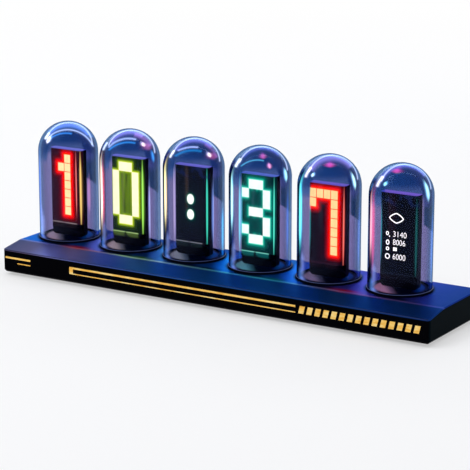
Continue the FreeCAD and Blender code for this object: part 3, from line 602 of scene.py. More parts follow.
def cover_finish():
    """Satin blue anodised metal, warmer and darker on the sloped band, with a painted highlight on the crease
    between them.
    """
    finish = Finish("satin_cover", Metallic=0.95, Specular_Tint=FAR_TINT)
    vector = finish.place()
    x, y, z = finish.split(vector)
    along = finish.share(x, CASE_LEFT, CASE_RIGHT, smooth=False)
    band = finish.share(y, CREASE_Y + 0.1, CREASE_Y - 0.1)
    deck = finish.minus(1.0, band)
    colour = finish.mix(band, finish.ramp(along, DECK_STOPS), finish.ramp(along, BAND_STOPS))
    cloud = finish.noise(finish.place(stretch=(0.4, 1.0, 1.0)), 0.06, detail=3.0)
    colour = finish.mix(finish.share(cloud, 0.35, 0.75, 0.0, 0.3), colour, shade(10, 40, 100))
    for number, light in GAP_LIGHTS.items():
        from_middle = finish.minus(x, (dome_axis(number)[0] + dome_axis(number + 1)[0]) / 2)
        slant = finish.share(finish.math("MULTIPLY_ADD", y, GAP_SLANT, from_middle), *GAP_EDGE)
        span = finish.effect(SPAN, from_middle, *GAP_SPAN)
        colour = finish.mix(finish.times(slant, span, deck), colour, light)
    for number in DOME_NUMBERS:
        axis_x, axis_y = dome_axis(number)
        left, right, soft = FRONT_SHADE
        span = finish.effect(SPAN, x, axis_x + left, axis_x + right, soft)
        front = finish.share(y, *(axis_y - reach for reach in FRONT_REACH))
        colour = finish.mix(finish.times(span, front, deck, 0.85), colour, shade(0, 6, 24))
    for number, light in DECK_GLOWS.items():
        across = finish.effect(LINE, x, dome_axis(number)[0] + GLOW_REACH_X, GLOW_HALF_X)
        deep = finish.effect(LINE, y, GLOW_Y, GLOW_HALF_Y)
        colour = finish.mix(finish.times(across, deep), colour, light)
    # Painted shadow round the foot of each ring
    for number in DOME_NUMBERS:
        from_axis = finish.length(*(finish.minus(*pair) for pair in zip((x, y), dome_axis(number))))
        foot = finish.effect(LINE, from_axis, *FOOT_SHADOW)
        colour = finish.mix(finish.times(foot, 0.8), colour, shade(2, 5, 16))
    # Painted highlight along the crease
    crease = finish.effect(LINE, y, CREASE_Y, CREASE_HIGHLIGHT_WIDTH)
    colour = finish.mix(crease, colour, finish.ramp(along, CREASE_HIGHLIGHT_STOPS))
    # Painted highlight along the front edge of the band
    edge = finish.share(z, EDGE_Z - 0.5, EDGE_Z - 0.1)
    rim = finish.times(finish.share(y, FRONT_Y + 0.55, FRONT_Y + 0.25), edge)
    colour = finish.mix(finish.times(rim, 0.85), colour, shade(24, 26, 48))
    return skin(finish, vector, 6.0, 0.012, 0.4, Base_Color=colour)


def case_finish(name):
    """Black lacquer, with a hint of blue at the ends."""
    finish = Finish(name, Specular_IOR_Level=0.004)
    vector = finish.place()
    end = finish.share(finish.split(vector)[0], CASE_RIGHT - 0.6, CASE_RIGHT - 0.1)
    colour = finish.mix(end, shade(4, 4, 7), shade(3, 12, 17))
    speck = finish.share(finish.noise(vector, 1.2, detail=3.0), 0.62, 0.74, 0.0, 0.5)
    return skin(finish, vector, 3.0, 0.003, 0.2, Base_Color=finish.mix(speck, colour, shade(18, 18, 26)))


def gold_finish():
    """Gold foil, paler where it is rubbed."""
    finish = Finish("gold_foil", Metallic=1.0)
    patches = finish.noise(finish.place(stretch=(0.25, 1.0, 1.0)), 0.9, detail=3.0)
    colour = finish.ramp(patches, shades((0.25, 232, 166, 62), (0.5, 250, 200, 102), (0.75, 255, 232, 160)))
    return skin(finish, finish.place(), 5.0, 0.01, 0.28, Base_Color=colour)


def ring_finish():
    """Dark navy rubbery lacquer of the rings, paler on top where the glass stands, a painted highlight."""
    finish = Finish("seat_ring", Specular_IOR_Level=0.03)
    vector = finish.place()
    colour = finish.ramp(finish.noise(vector, 0.3, detail=3.0), shades((0.3, 2, 4, 12), (0.7, 6, 10, 28)))
    # Painted highlight on the ring's top face
    top = finish.share(finish.split(vector)[2], RING_TOP_Z - 0.16, RING_TOP_Z - 0.06)
    colour = finish.mix(top, colour, shade(84, 96, 146))
    return skin(finish, vector, 5.0, 0.006, 0.34, Base_Color=colour)


# Colour across each disc along a slant: lavender in front, a painted shadow of the display on the way to the
# right, deep blue behind
DISC_COLOUR_AND_SHADOW_STOPS = shades(
    (0.00, 196, 184, 196), (0.21, 180, 168, 180), (0.30, 104, 106, 126),
    (0.39, 8, 18, 32), (0.66, 2, 14, 40), (0.82, 2, 70, 140), (1.00, 4, 84, 170),
)
# Painted light across each disc along the same slant, on its front and on its back
DISC_LIGHT_STOPS = shades(
    (0.00, 180, 155, 112), (0.21, 150, 138, 104), (0.30, 84, 88, 68),
    (0.39, 0, 0, 0), (0.70, 0, 0, 0), (0.86, 0, 70, 116), (1.00, 0, 84, 134),
)
# Tint of each disc's colour and of its painted light
DISC_TINTS = {
    1: (0.9, 0.9, 1.0), 2: (1.0, 1.0, 1.0), 3: (0.6, 0.85, 0.95), 4: (0.25, 0.95, 1.0), 5: (0.5, 0.5, 0.8),
    6: (1.0, 0.6, 0.9),
}
DISC_REACH = 16.0
DISC_SLANT = 0.8
DISC_LINE = 12.35
DISC_LINE_WIDTH = 0.95
# The line round a disc is wider by this much in front and behind, where it is seen aslant
DISC_LINE_SPREAD = 0.2
DISC_DEPTH = (-0.527, 0.850, 0.0)


def disc_finish(number):
    """Frosted disc under a display: lavender in front with painted light, black on the way to the right with
    the display's painted shadow, and deep blue behind.
    """
    finish = Finish(f"light_disc_{number}", Specular_IOR_Level=0.01, Emission_Strength=1.0)
    vector = finish.place((*dome_axis(number), 0.0))
    x, y, _ = finish.split(vector)
    slant = finish.math("ADD", x, finish.times(y, DISC_SLANT))
    slant = finish.share(slant, -DISC_REACH, DISC_REACH, smooth=False)
    radius = finish.length(x, y)
    inner = finish.share(radius, DISC_LINE + 0.5, DISC_LINE + 0.1)
    depth = finish.math("ABSOLUTE", finish.dot(vector, DISC_DEPTH))
    width = finish.math("MULTIPLY_ADD", depth, DISC_LINE_SPREAD / DISC_LINE, DISC_LINE_WIDTH)
    line = finish.effect(LINE, radius, DISC_LINE, width)
    colour, light = (
        finish.mix(1.0, finish.ramp(slant, stops), DISC_TINTS[number], blend="MULTIPLY")
        for stops in (DISC_COLOUR_AND_SHADOW_STOPS, DISC_LIGHT_STOPS)
    )
    colour = finish.mix(line, finish.mix(inner, shade(92, 112, 180), colour), shade(2, 3, 8))
    light = finish.mix(line, finish.mix(inner, BLACK, light), BLACK)
    return skin(finish, vector, 2.5, 0.01, 0.3, scale=0.2, Base_Color=colour, Emission_Color=light)


# The domes

ARC_STEPS = 30
WALL_STEPS = 12
RIM_BEVEL = 0.25
# A first short step, so that the rim's shading doesn't reach up the wall
RIM_STEP = 0.4
# Turns about a dome's axis are in degrees from the clock's front, positive to its right.
SEAM_TURN = -60.0
# Tint of the upright wall at each turn: lavender glass, lighter and darker in zones by painted reflection
SIDE_STOPS = (
    (-58, (0.96, 0.88, 0.96)), (-48, (1.00, 0.88, 0.98)), (-38, (0.98, 0.72, 0.88)),
    (-26, (1.00, 0.68, 0.82)), (-12, (0.86, 0.56, 0.70)), (-5, (0.90, 0.64, 0.79)),
    (68, (0.90, 0.64, 0.79)), (76, (0.94, 0.60, 0.76)), (88, (0.82, 0.61, 0.76)), (100, (0.68, 0.64, 0.82)),
    (112, (0.70, 0.52, 0.74)), (124, (0.95, 0.68, 0.82)),
)
# Tint of the crown at each turn: deepest in front and to the right, paler at the left by painted reflection
CROWN_STOPS = (
    (-58, (0.34, 0.48, 0.72)), (-30, (0.36, 0.46, 0.72)), (-8, (0.24, 0.38, 0.62)), (14, (0.13, 0.28, 0.54)),
    (52, (0.14, 0.24, 0.48)), (76, (0.26, 0.24, 0.48)), (98, (0.18, 0.20, 0.46)), (124, (0.20, 0.30, 0.52)),
)
# The height at which the crown's blue starts, on the front turns (their ends and softness) and elsewhere
FRONT_CROWN = 48.0
BACK_CROWN = 39.0
FRONT_TURNS = (-4.0, 66.0, 7.0)
CROWN_BLEND = 4.0
CAP_BLEND = 2.5
CAP_TINT = (0.50, 0.46, 0.76)
CAP_STARTS = {1: 54.5, 2: 54.5, 3: 55.0, 4: 57.0, 5: 56.5, 6: 57.5}
# The painted shade on the right wall: its turns and softness, its lower end there, and its fall with each
# degree
SHADE_TURNS = (74.0, 104.0, 5.0)
SHADE_LOW = 32.5
SHADE_FALL = 0.16
SHADE_TINT = (0.10, 0.17, 0.28)
# How solid the glass is to shadow rays
SHADOW_ALPHA = 0.25


@dataclass(frozen=True)
class Glint:
    """A patch of painted coloured light in a dome's wall, a painted reflection."""

    turn: float
    height: float
    half_turn: float
    half_height: float
    colour: tuple
    power: float = 1.0


# Lavender light in the left wall above each ring
FOOT_GLINTS = (
    Glint(-27, 8.0, 6, 5.5, shade(89, 99, 137)), Glint(-34, 3.0, 6, 3.5, shade(58, 90, 138)),
    Glint(-26, 1.0, 7, 1.5, shade(84, 98, 150)),
)
GLINTS = {
    1: (
        Glint(-34, 10, 5, 8, shade(96, 98, 150)),
        Glint(-40, 26, 2.4, 18, shade(80, 110, 220)), Glint(79, 24, 3.0, 9, shade(190, 110, 150), 0.5),
        Glint(-12, 51.5, 4.5, 1.6, shade(255, 245, 255), 2.0),
    ),
    2: (
        Glint(-36.5, 29, 2.4, 17, (3.2, 1.9, 1.2), 1.6), Glint(-27.5, 29, 2.2, 15, shade(235, 50, 46), 1.4),
        Glint(74, 20, 1.4, 14, shade(150, 160, 210)), Glint(69.5, 53.1, 5, 0.9, shade(255, 215, 225), 1.4),
        Glint(79, 51.8, 12, 1.4, shade(190, 100, 150), 0.5), Glint(86, 47, 3, 2.6, shade(70, 160, 235)),
    ),
    3: (
        Glint(-35, 33, 3.2, 15, (3.2, 2.1, 0.8), 1.0), Glint(-6.5, 29, 1.1, 17, shade(170, 150, 180)),
        Glint(70, 52.2, 4.5, 1.0, shade(255, 225, 230), 1.4),
        Glint(78, 51.4, 12, 1.4, shade(180, 70, 120), 0.5),
        Glint(102, 14, 2.6, 11, shade(60, 190, 235), 1.2), Glint(71, 24, 1.5, 14, shade(110, 140, 210)),
    ),
    4: (
        Glint(-33.4, 34, 2.6, 13, shade(195, 255, 250), 2.4),
        Glint(-9.6, 28, 1.1, 16, shade(80, 215, 230), 1.4),
        Glint(38.6, 55.6, 8, 0.9, shade(200, 80, 150), 0.9),
        Glint(50.5, 51.6, 3.6, 1.1, shade(235, 140, 180), 1.2),
        Glint(86, 46.5, 3.4, 2.8, shade(175, 240, 255), 1.6), Glint(92, 24, 2.2, 16, shade(50, 100, 190)),
    ),
    5: (
        Glint(-35, 33, 3.4, 16, shade(110, 240, 235), 2.2), Glint(29.3, 55.7, 12, 0.8, shade(215, 60, 150)),
        Glint(-7.5, 51.2, 3.0, 0.8, shade(200, 235, 255), 1.6),
        Glint(81.5, 48.2, 3.0, 3.4, shade(200, 250, 255), 1.6), Glint(98, 22, 2.4, 16, shade(60, 90, 180)),
    ),
    6: (
        Glint(-39, 32, 2.2, 15, shade(255, 175, 180), 2.2),
        Glint(-31, 30, 3.4, 17, shade(215, 50, 80), 1.1), Glint(8.4, 56.8, 15, 0.7, shade(215, 60, 150)),
        Glint(-8.2, 51.4, 3.0, 0.8, shade(160, 235, 255), 1.6),
        Glint(81.5, 48.0, 3.6, 4.0, shade(185, 250, 255), 1.6), Glint(99, 22, 2.4, 16, shade(70, 110, 200)),
    ),
}


@dataclass(frozen=True)
class Arc:
    """An arc of painted reflection in a crown, on a circle on its front in shares of the crown's radius.

    Its ends are in degrees about the crown's middle, from its top to the right.
    """

    centre: tuple
    radius: float
    half_width: float
    start: float
    end: float
    colour: tuple


# Across and up on the side of the crowns that the arcs of light run round
CROWN_ACROSS = Vector((0.850, 0.527, 0.0))
CROWN_UP = Vector((-0.129, 0.208, 0.970))
CROWN_RADIUS = 15.0
CROWN_Z = 44.0
RIM_ARC = Arc((0.07, 0.15), 0.77, 0.020, -56, 76, (0.75, 0.78, 1.05))
ARCS = {
    1: (
        Arc((0.05, 0.05), 0.79, 0.07, -48, 52, shade(84, 104, 200)),
        Arc((0.04, -0.2), 0.99, 0.07, -44, 60, shade(60, 104, 165)),
        Arc((0.04, -0.25), 0.91, 0.026, -46, 80, shade(190, 208, 255)),
        Arc((0.0, -0.35), 0.89, 0.028, -60, 18, shade(50, 130, 225)),
        Arc((0.0, 0.0), 0.80, 0.034, -61, -48, (2.0, 2.0, 2.2)),
    ),
    2: (
        Arc((0.05, 0.05), 0.79, 0.07, -46, 30, shade(126, 116, 210)),
        Arc((0.05, 0.05), 0.74, 0.08, 16, 58, shade(140, 94, 160)),
        Arc((0.0, -0.25), 0.88, 0.034, -60, 20, shade(170, 190, 250)),
        Arc((0.0, -0.45), 0.95, 0.030, -66, 23, shade(40, 130, 215)),
        Arc((-0.1, 0.0), 0.79, 0.036, -70, -56, (1.3, 1.3, 1.6)),
    ),
    3: (
        Arc((0.05, 0.05), 0.79, 0.06, -44, 40, shade(104, 96, 196)),
        Arc((0.05, 0.05), 0.74, 0.05, 30, 66, shade(116, 70, 130)),
        Arc((0.0, -0.5), 1.12, 0.030, -42, 12, shade(176, 190, 250)),
        Arc((0.0, -0.5), 1.01, 0.038, -58, 27, shade(14, 110, 170)),
        Arc((0.0, 0.0), 0.80, 0.034, -66, -52, (1.5, 1.4, 1.6)),
    ),
    4: (
        Arc((0.05, 0.05), 0.80, 0.05, -40, 40, shade(60, 66, 160)),
        Arc((-0.1, -0.3), 0.78, 0.020, -62, 10, shade(80, 170, 200)),
        Arc((-0.05, 0.0), 0.78, 0.040, -68, -52, (1.7, 1.7, 1.9)),
    ),
    5: (
        Arc((0.05, 0.05), 0.78, 0.09, -50, 46, shade(136, 118, 205)),
        Arc((0.0, 0.0), 0.80, 0.036, -70, -50, (1.6, 1.4, 1.7)),
    ),
    6: (
        Arc((0.05, 0.05), 0.82, 0.06, -50, 46, shade(84, 80, 180)),
        Arc((0.0, 0.0), 0.82, 0.036, -70, -50, (1.6, 1.5, 1.8)),
    ),
}

# How many times light from a display crosses a film on its way out, slanting included
FILM_PASSES = 2.4


def through_glass(colour):
    """The light that shows as a colour once it has passed one wall of a dome."""
    glass = bpy.context.scene.clock_glass
    passed = (side * film ** FILM_PASSES for side, film in zip(glass.side_tint, glass.film_tint))
    return tuple(channel / share for channel, share in zip(colour, passed))


def under_film(colour, power=1.0):
    """The light in the glass that shows as a colour, times a power, through the film on it."""
    film = bpy.context.scene.clock_glass.film_tint
    light = bpy.context.scene.clock_figures.glint_light * power
    return tuple(light * channel / share for channel, share in zip(colour, film))


def turn_ramp(finish, turn, stops):
    """A colour for each turn about a dome's axis."""
    share = finish.share(turn, SEAM_TURN, SEAM_TURN + 360.0, smooth=False)
    return finish.ramp(share, [((degrees - SEAM_TURN) / 360.0, colour) for degrees, colour in stops])


def glass_finish(number):
    """Blown glass under a thin blue film: deep blue in the crown, lavender below, with painted reflections
    and painted shade, and clear to the lamps.
    """
    finish = Finish(
        f"dome_glass_{number}", Transmission_Weight=1.0, IOR=1.46, Specular_Tint=(0.05, 0.08, 0.16),
        Coat_Weight=1.0, Coat_IOR=1.0, Coat_Roughness=0.0,
        Coat_Tint=tuple(bpy.context.scene.clock_glass.film_tint), Emission_Strength=1.0,
    )
    vector = finish.place((*dome_axis(number), DECK_Z))
    x, y, z = finish.split(vector)
    turn = finish.times(finish.math("ARCTAN2", x, finish.times(y, -1.0)), DEGREES)
    turn = finish.math("MULTIPLY_ADD", finish.math("LESS_THAN", turn, SEAM_TURN), 360.0, turn)
    # Painted shade on the upper right wall
    shade_low = finish.math("MULTIPLY_ADD", turn, -SHADE_FALL, SHADE_LOW + SHADE_FALL * SHADE_TURNS[0])
    dark = finish.share(finish.minus(z, shade_low), -0.5, 0.5)
    dark = finish.times(finish.effect(SPAN, turn, *SHADE_TURNS), dark)
    side = finish.mix(dark, turn_ramp(finish, turn, SIDE_STOPS), SHADE_TINT)
    front = finish.effect(SPAN, turn, *FRONT_TURNS)
    crown_start = finish.math("MULTIPLY_ADD", front, FRONT_CROWN - BACK_CROWN, BACK_CROWN)
    crown = finish.share(finish.minus(z, crown_start), 0.0, CROWN_BLEND)
    cap = finish.share(z, CAP_STARTS[number], CAP_STARTS[number] + CAP_BLEND)
    crown_colour = finish.mix(cap, turn_ramp(finish, turn, CROWN_STOPS), CAP_TINT)
    light = BLACK
    # Painted reflections: the glints in the wall, then the arcs on the crown
    for glint in (*GLINTS[number], *FOOT_GLINTS):
        mask = finish.effect(PATCH, turn, z, glint.turn, glint.height, glint.half_turn, glint.half_height)
        light = finish.mix(mask, light, under_film(glint.colour, glint.power), blend="ADD")
    light = crown_arcs(finish, number, vector, light)
    shadow = finish.add("ShaderNodeLightPath").outputs["Is Shadow Ray"]
    finish.set(
        Base_Color=finish.mix(crown, side, crown_colour), Emission_Color=light,
        Alpha=finish.math("MULTIPLY_ADD", shadow, SHADOW_ALPHA - 1.0, 1.0),
        Roughness=finish.math("MAXIMUM", finish.effect(SMUDGES, vector, 0.12, 0.03), 0.0),
    )
    return finish


def crown_arcs(finish, number, vector, light):
    """Adds the arcs of light on the outer face of a crown to its light."""
    values = {0: vector, 1: (0.0, 0.0, CROWN_Z)}
    from_middle = finish.add("ShaderNodeVectorMath", values, operation="SUBTRACT").outputs[0]
    reach = finish.add("ShaderNodeVectorMath", {0: from_middle}, operation="LENGTH").outputs["Value"]
    ways = (CROWN_ACROSS, CROWN_UP, CROWN_ACROSS.cross(CROWN_UP))
    across, up, out = (finish.dot(from_middle, way / CROWN_RADIUS) for way in ways)
    outer = finish.math("GREATER_THAN", reach, CROWN_RADIUS - 0.4)
    on_front = finish.times(finish.math("GREATER_THAN", out, 0.0), outer)
    angle = finish.times(finish.math("ARCTAN2", across, up), DEGREES)
    for arc in (RIM_ARC, *ARCS[number]):
        circle = (*arc.centre, arc.radius, arc.half_width)
        mask = finish.effect(ARC, across, up, angle, *circle, arc.start, arc.end)
        light = finish.mix(finish.times(mask, on_front), light, under_film(arc.colour), blend="ADD")
    return light


def dome_wall(bm, radius, foot_z, shoulder_z):
    """Half the outline of a dome: an upright line, then a quarter arc to the pole. Returns the lower end."""
    foot = shoulder = bm.verts.new((radius, 0.0, foot_z))
    for step in (RIM_STEP, *[(shoulder_z - foot_z - RIM_STEP) / WALL_STEPS] * WALL_STEPS):
        shoulder = bmesh.ops.extrude_vert_indiv(bm, verts=[shoulder])["verts"][0]
        shoulder.co.z += step
    arc = bmesh.ops.spin(
        bm, geom=[shoulder], cent=(0.0, 0.0, shoulder_z), axis=(0.0, -1.0, 0.0), angle=math.pi / 2,
        steps=ARC_STEPS,
    )
    pole = next(item for item in arc["geom_last"] if isinstance(item, bmesh.types.BMVert))
    pole.co.xy = (0.0, 0.0)
    return foot


def make_dome(number):
    """One blown glass dome: a tube with a round crown, an even wall and a softened rim."""
    glass = bpy.context.scene.clock_glass
    node = f"glass_dome_{number}"
    radius = (high(node).x - low(node).x) / 2
    foot_z = low(node).z
    shoulder_z = high(node).z - radius
    bm = bmesh.new()
    outer_foot = dome_wall(bm, radius, foot_z, shoulder_z)
    inner_foot = dome_wall(bm, radius - glass.wall / MM, foot_z, shoulder_z)
    bm.edges.new((outer_foot, inner_foot))
    bmesh.ops.spin(
        bm, geom=bm.verts[:] + bm.edges[:], cent=(0.0, 0.0, 0.0), axis=(0.0, 0.0, 1.0), angle=2 * math.pi,
        steps=glass.steps, use_merge=True,
    )
    bmesh.ops.remove_doubles(bm, verts=bm.verts, dist=0.001)
    bmesh.ops.recalc_face_normals(bm, faces=bm.faces)
    rim = [e for e in bm.edges if all(abs(v.co.z - foot_z) < 0.001 for v in e.verts) and round_edge(e)]
    bmesh.ops.bevel(bm, geom=rim, offset=RIM_BEVEL, affect="EDGES", segments=3, profile=0.5, material=-1)
    bmesh.ops.recalc_face_normals(bm, faces=bm.faces)
    bmesh.ops.translate(bm, vec=(*dome_axis(number), 0.0), verts=bm.verts)
    dome = add_piece(f"tinted_dome_{number}", bm, glass_finish(number), f"dome_{number}")
    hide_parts(node)


def round_edge(edge):
    """True if an edge runs round the axis, not across the wall."""
    first, second = (v.co.xy.length for v in edge.verts)
    return abs(first - second) < 0.01


# The displays


def block_place(display, block):
    """The centre and half sizes of a block of cells, from its dome's axis and the deck."""
    column, row, columns, rows = block
    left = display.grid_left + column * display.pitch
    top = GRID_LOW + (ROWS - row) * CELL_HEIGHT
    half_width = columns * display.pitch / 2
    half_height = rows * CELL_HEIGHT / 2
    return left + half_width, top - half_height, half_width, half_height


def figure_distance(finish, number, x, z):
    """How far each point of a display's front is from what glows on it, or None if nothing does."""
    display = DISPLAYS[number]
    parts = [finish.effect(BLOCK_DISTANCE, x, z, *block_place(display, block)) for block in display.blocks]
    for height in DOT_HEIGHTS if number == 3 else ():
        away = finish.effect(BLOCK_DISTANCE, x, z, DOT_X, height, 0.0, DOT_GLOW_HALF)
        parts.append(finish.math("MAXIMUM", finish.minus(away, DOT_HALF_WIDTH), 0.0))
    return finish.fold("MINIMUM", *parts) if parts else None


GLOW_RANGE = 8.0
# Light between the sides of a figure: its lower and upper ends and its softness
INSIDE_SPAN = (GRID_LOW + 4.6, GRID_LOW + 6 * CELL_HEIGHT - 0.2, 0.3)
# Upright lines of light on a display's front: centre across and up, then half sizes
STREAK_PLACE = (8.95, 25.0)
STREAK_HALF = 18.0
LEFT_LINE = (-8.9, 26.0, 0.42, 13.0)
PINK_LINE = (6.6, 28.0, 0.26, 15.0)
# Heights between which the upper part of the two dark displays turns bluer with painted light
BLUE_LIGHT_HEIGHTS = (38.5, 41.5)
# Each chin has two facets with a wedge-shaped notch between them: left and right ends, and how they draw in.
CHIN_LOW = 5.0
CHIN_HIGH = 7.5
CHIN_FACETS = ((-9.2, -1.6, 0.45, 0.35), (-0.7, 6.4, 0.15, 0.2))
CHIN_FALL = 0.55
# How deep the light of a chin reaches into its housing
CHIN_DEPTHS = (2.0, 1.4)
# How much of the painted highlight on a display's top face is light, and how much is base colour
TOP_LIGHT = 0.55
TOP_COLOUR = 0.3


def lit_chin(finish, number, x, z, light):
    """Lays the light that a chin's facets catch over a display's light."""
    display = DISPLAYS[number]
    below = finish.minus(CHIN_HIGH, z)
    light = finish.mix(finish.share(below, 0.1, -0.1), BLACK, light)
    fall = finish.share(below, 0.0, CHIN_HIGH - CHIN_LOW, 1.0, CHIN_FALL)
    tall = finish.effect(SPAN, z, CHIN_LOW, CHIN_HIGH, 0.12)
    edge = finish.effect(LINE, z, CHIN_HIGH, 0.2)
    for left, right, left_draw, right_draw in CHIN_FACETS:
        left_end = finish.math("MULTIPLY_ADD", below, left_draw, left)
        right_end = finish.math("MULTIPLY_ADD", below, -right_draw, right)
        wide = finish.effect(SPAN, x, left_end, right_end, 0.15)
        light = finish.mix(finish.times(wide, tall, fall), light, through_glass(display.chin))
        light = finish.mix(finish.times(wide, edge), light, through_glass(display.chin_edge_light))
    return light


def paint_top_highlight(finish, number, z, colour, light):
    """Lays the painted highlight on a display's top face over its colour and its light."""
    top = finish.share(z, DISPLAY_TOP_Z - DECK_Z - 0.12, DISPLAY_TOP_Z - DECK_Z - 0.04)
    shown = DISPLAYS[number].top_highlight
    light = finish.mix(top, light, through_glass([c * TOP_LIGHT for c in shown]))
    return finish.mix(top, colour, [c * TOP_COLOUR for c in shown]), light


def display_finish(number):
    """Black glass front of a display, with its figure's glow and the light caught by its rounded edges."""
    display = DISPLAYS[number]
    settings = bpy.context.scene.clock_figures
    finish = Finish(f"display_front_{number}", Specular_IOR_Level=0.12, Emission_Strength=1.0)
    vector = finish.place((dome_axis(number)[0], DISPLAY_Y, DECK_Z))
    x, _, z = finish.split(vector)
    distance = figure_distance(finish, number, x, z)
    stops = [(reach / GLOW_RANGE, through_glass(colour)) for reach, colour in display.glow]
    light = finish.ramp(finish.math("DIVIDE", distance, GLOW_RANGE) if distance else 1.0, stops)
    if any(display.inside):
        middle = display.grid_left + 2 * display.pitch
        inside = finish.effect(SPAN, x, middle - display.pitch, middle + display.pitch, 0.3)
        height = finish.effect(SPAN, z, *INSIDE_SPAN)
        bars = finish.noise(finish.join(x, 0.0, finish.times(z, 0.05)), 0.75)
        level = finish.times(inside, height, finish.share(bars, 0.35, 0.65, 0.3, 1.0))
        light = finish.mix(level, light, through_glass(display.inside))
    light = finish.mix(1.0, light, (settings.glow_light,) * 3, blend="MULTIPLY")
    lines = [
        (*STREAK_PLACE, display.streak_width, STREAK_HALF, display.streak), (*LEFT_LINE, display.left_line),
    ]
    if number == 1:
        lines.append((*PINK_LINE, shade(250, 130, 125)))
    for *patch, shown in lines:
        level = finish.times(finish.effect(PATCH, x, z, *patch), settings.streak_light)
        light = finish.mix(level, light, through_glass(shown), blend="ADD")
    patches = finish.noise(finish.join(x, 0.0, z), 0.28, detail=1.0)
    if number in (3, 6):
        # Painted bluish light in patches over the upper part
        blue_light = finish.times(finish.share(patches, 0.5, 0.62), finish.share(z, *BLUE_LIGHT_HEIGHTS), 0.8)
        light = finish.mix(blue_light, light, through_glass(shade(16, 30, 72)))
    light = lit_chin(finish, number, x, z, light)
    colour = finish.ramp(patches, shades((0.3, 3, 3, 5), (0.7, 6, 6, 9)))
    colour, light = paint_top_highlight(finish, number, z, colour, light)
    finish.set(Base_Color=colour, Emission_Color=light, Roughness=wiped(finish, vector, 0.07, amount=0.05))
    return finish


def housing_finish(number):
    """Black moulded plastic behind a display, with a painted highlight on its top face and painted light on
    its chin in the display's colour.
    """
    finish = Finish(f"display_housing_{number}", Specular_IOR_Level=0.1, Emission_Strength=1.0)
    vector = finish.place((dome_axis(number)[0], DISPLAY_Y, DECK_Z))
    x, y, z = finish.split(vector)
    light = lit_chin(finish, number, x, z, BLACK)
    light = finish.mix(finish.share(y, *CHIN_DEPTHS), BLACK, light)
    colour = finish.ramp(finish.noise(vector, 0.5, detail=4.0), shades((0.3, 3, 3, 5), (0.7, 8, 8, 12)))
    colour, light = paint_top_highlight(finish, number, z, colour, light)
    return skin(finish, vector, 7.0, 0.01, 0.35, Base_Color=colour, Emission_Color=light)


def lit_finish(number):
    """Lit cells, a little dimmer here and there."""
    display = DISPLAYS[number]
    finish = Finish(f"lit_cells_{number}", Roughness=0.5, Specular_IOR_Level=0.1)
    vector = finish.place((dome_axis(number)[0] + display.grid_left, DISPLAY_Y, DECK_Z + GRID_LOW))
    level = finish.share(finish.noise(vector, 0.35, detail=1.0), 0.3, 0.7, 0.88, 1.0)
    finish.set(
        Base_Color=[c * 0.15 for c in display.lit],
        Emission_Color=finish.mix(level, BLACK, through_glass(display.lit)),
        Emission_Strength=bpy.context.scene.clock_figures.figure_light,
    )
    return finish


def add_block(bm, low_corner, high_corner, bevel=0.06):
    """A small plate with softened edges between two corners."""
    low_corner, high_corner = Vector(low_corner), Vector(high_corner)
    size = high_corner - low_corner
    matrix = Matrix.Translation((low_corner + high_corner) / 2) @ Matrix.Diagonal((*size, 1.0))
    cube = bmesh.ops.create_cube(bm, size=1.0, matrix=matrix)
    edges = {edge for vert in cube["verts"] for edge in vert.link_edges}
    bmesh.ops.bevel(bm, geom=list(edges), offset=bevel, affect="EDGES", segments=1, profile=0.5, material=-1)


def make_cells(number):
    """The lit cells of a figure, on the front of its display."""
    display = DISPLAYS[number]
    axis_x = dome_axis(number)[0]
    front = DISPLAY_Y - CELL_PROUD
    bm = bmesh.new()
    for block in display.blocks:
        column, row, columns, rows = block
        single = [(column + i, row + j, 1, 1) for i in range(columns) for j in range(rows)]
        for cell in single if display.gap else [block]:
            centre_x, centre_z, half_width, half_height = block_place(display, cell)
            half_width -= display.gap / 2
            half_height -= display.gap / 2
            add_block(
                bm,
                (axis_x + centre_x - half_width, front, DECK_Z + centre_z - half_height),
                (axis_x + centre_x + half_width, front + CELL_DEPTH, DECK_Z + centre_z + half_height),
            )
    add_piece(f"lit_cells_{number}", bm, lit_finish(number), "base", smooth=False)


def add_flat_shape(bm, centre, half_width, half_height, stroke=None, sharpness=1.0, sides=40):
    """A flat closed shape that faces the front: an oval, drawn in to four corners if its sharpness is over 1.

    With a stroke it is only the outline.
    """
    made = bmesh.ops.create_circle(bm, cap_ends=True, cap_tris=False, segments=sides, radius=1.0)
    for vert in made["verts"]:
        angle = math.atan2(vert.co.y, vert.co.x)
        across, up = (math.copysign(abs(c) ** sharpness, c) for c in (math.cos(angle), math.sin(angle)))
        vert.co = (centre[0] + across * half_width, DISPLAY_Y - CELL_PROUD, centre[1] + up * half_height)
    face = next(iter(made["verts"][0].link_faces))
    face.normal_update()
    kept = [face]
    if stroke:
        kept = bmesh.ops.inset_region(
            bm, faces=[face], thickness=stroke, use_boundary=True, use_even_offset=True,
        )["faces"]
        bmesh.ops.delete(bm, geom=[face], context="FACES_ONLY")
    back = bmesh.ops.extrude_face_region(bm, geom=kept)["geom"]
    verts = [item for item in back if isinstance(item, bmesh.types.BMVert)]
    bmesh.ops.translate(bm, vec=(0.0, CELL_DEPTH, 0.0), verts=verts)


def make_dots(number):
    """The two upright ovals of the colon."""
    axis_x = dome_axis(number)[0]
    bm = bmesh.new()
    for height in DOT_HEIGHTS:
        add_flat_shape(bm, (axis_x + DOT_X, DECK_Z + height), DOT_HALF_WIDTH, DOT_HALF_HEIGHT)
    bmesh.ops.recalc_face_normals(bm, faces=bm.faces)
    add_piece(f"lit_dots_{number}", bm, lit_finish(number), "base", smooth=False)


# The last display: an outline symbol over four rows of a small mark and a number
NUMBER_X = -2.45
NUMBER_ROWS = ((26.2, "3140", 6.8), (22.4, "8006", 6.2), (15.6, "6000", 6.4))
NUMBER_HEIGHT = 2.6
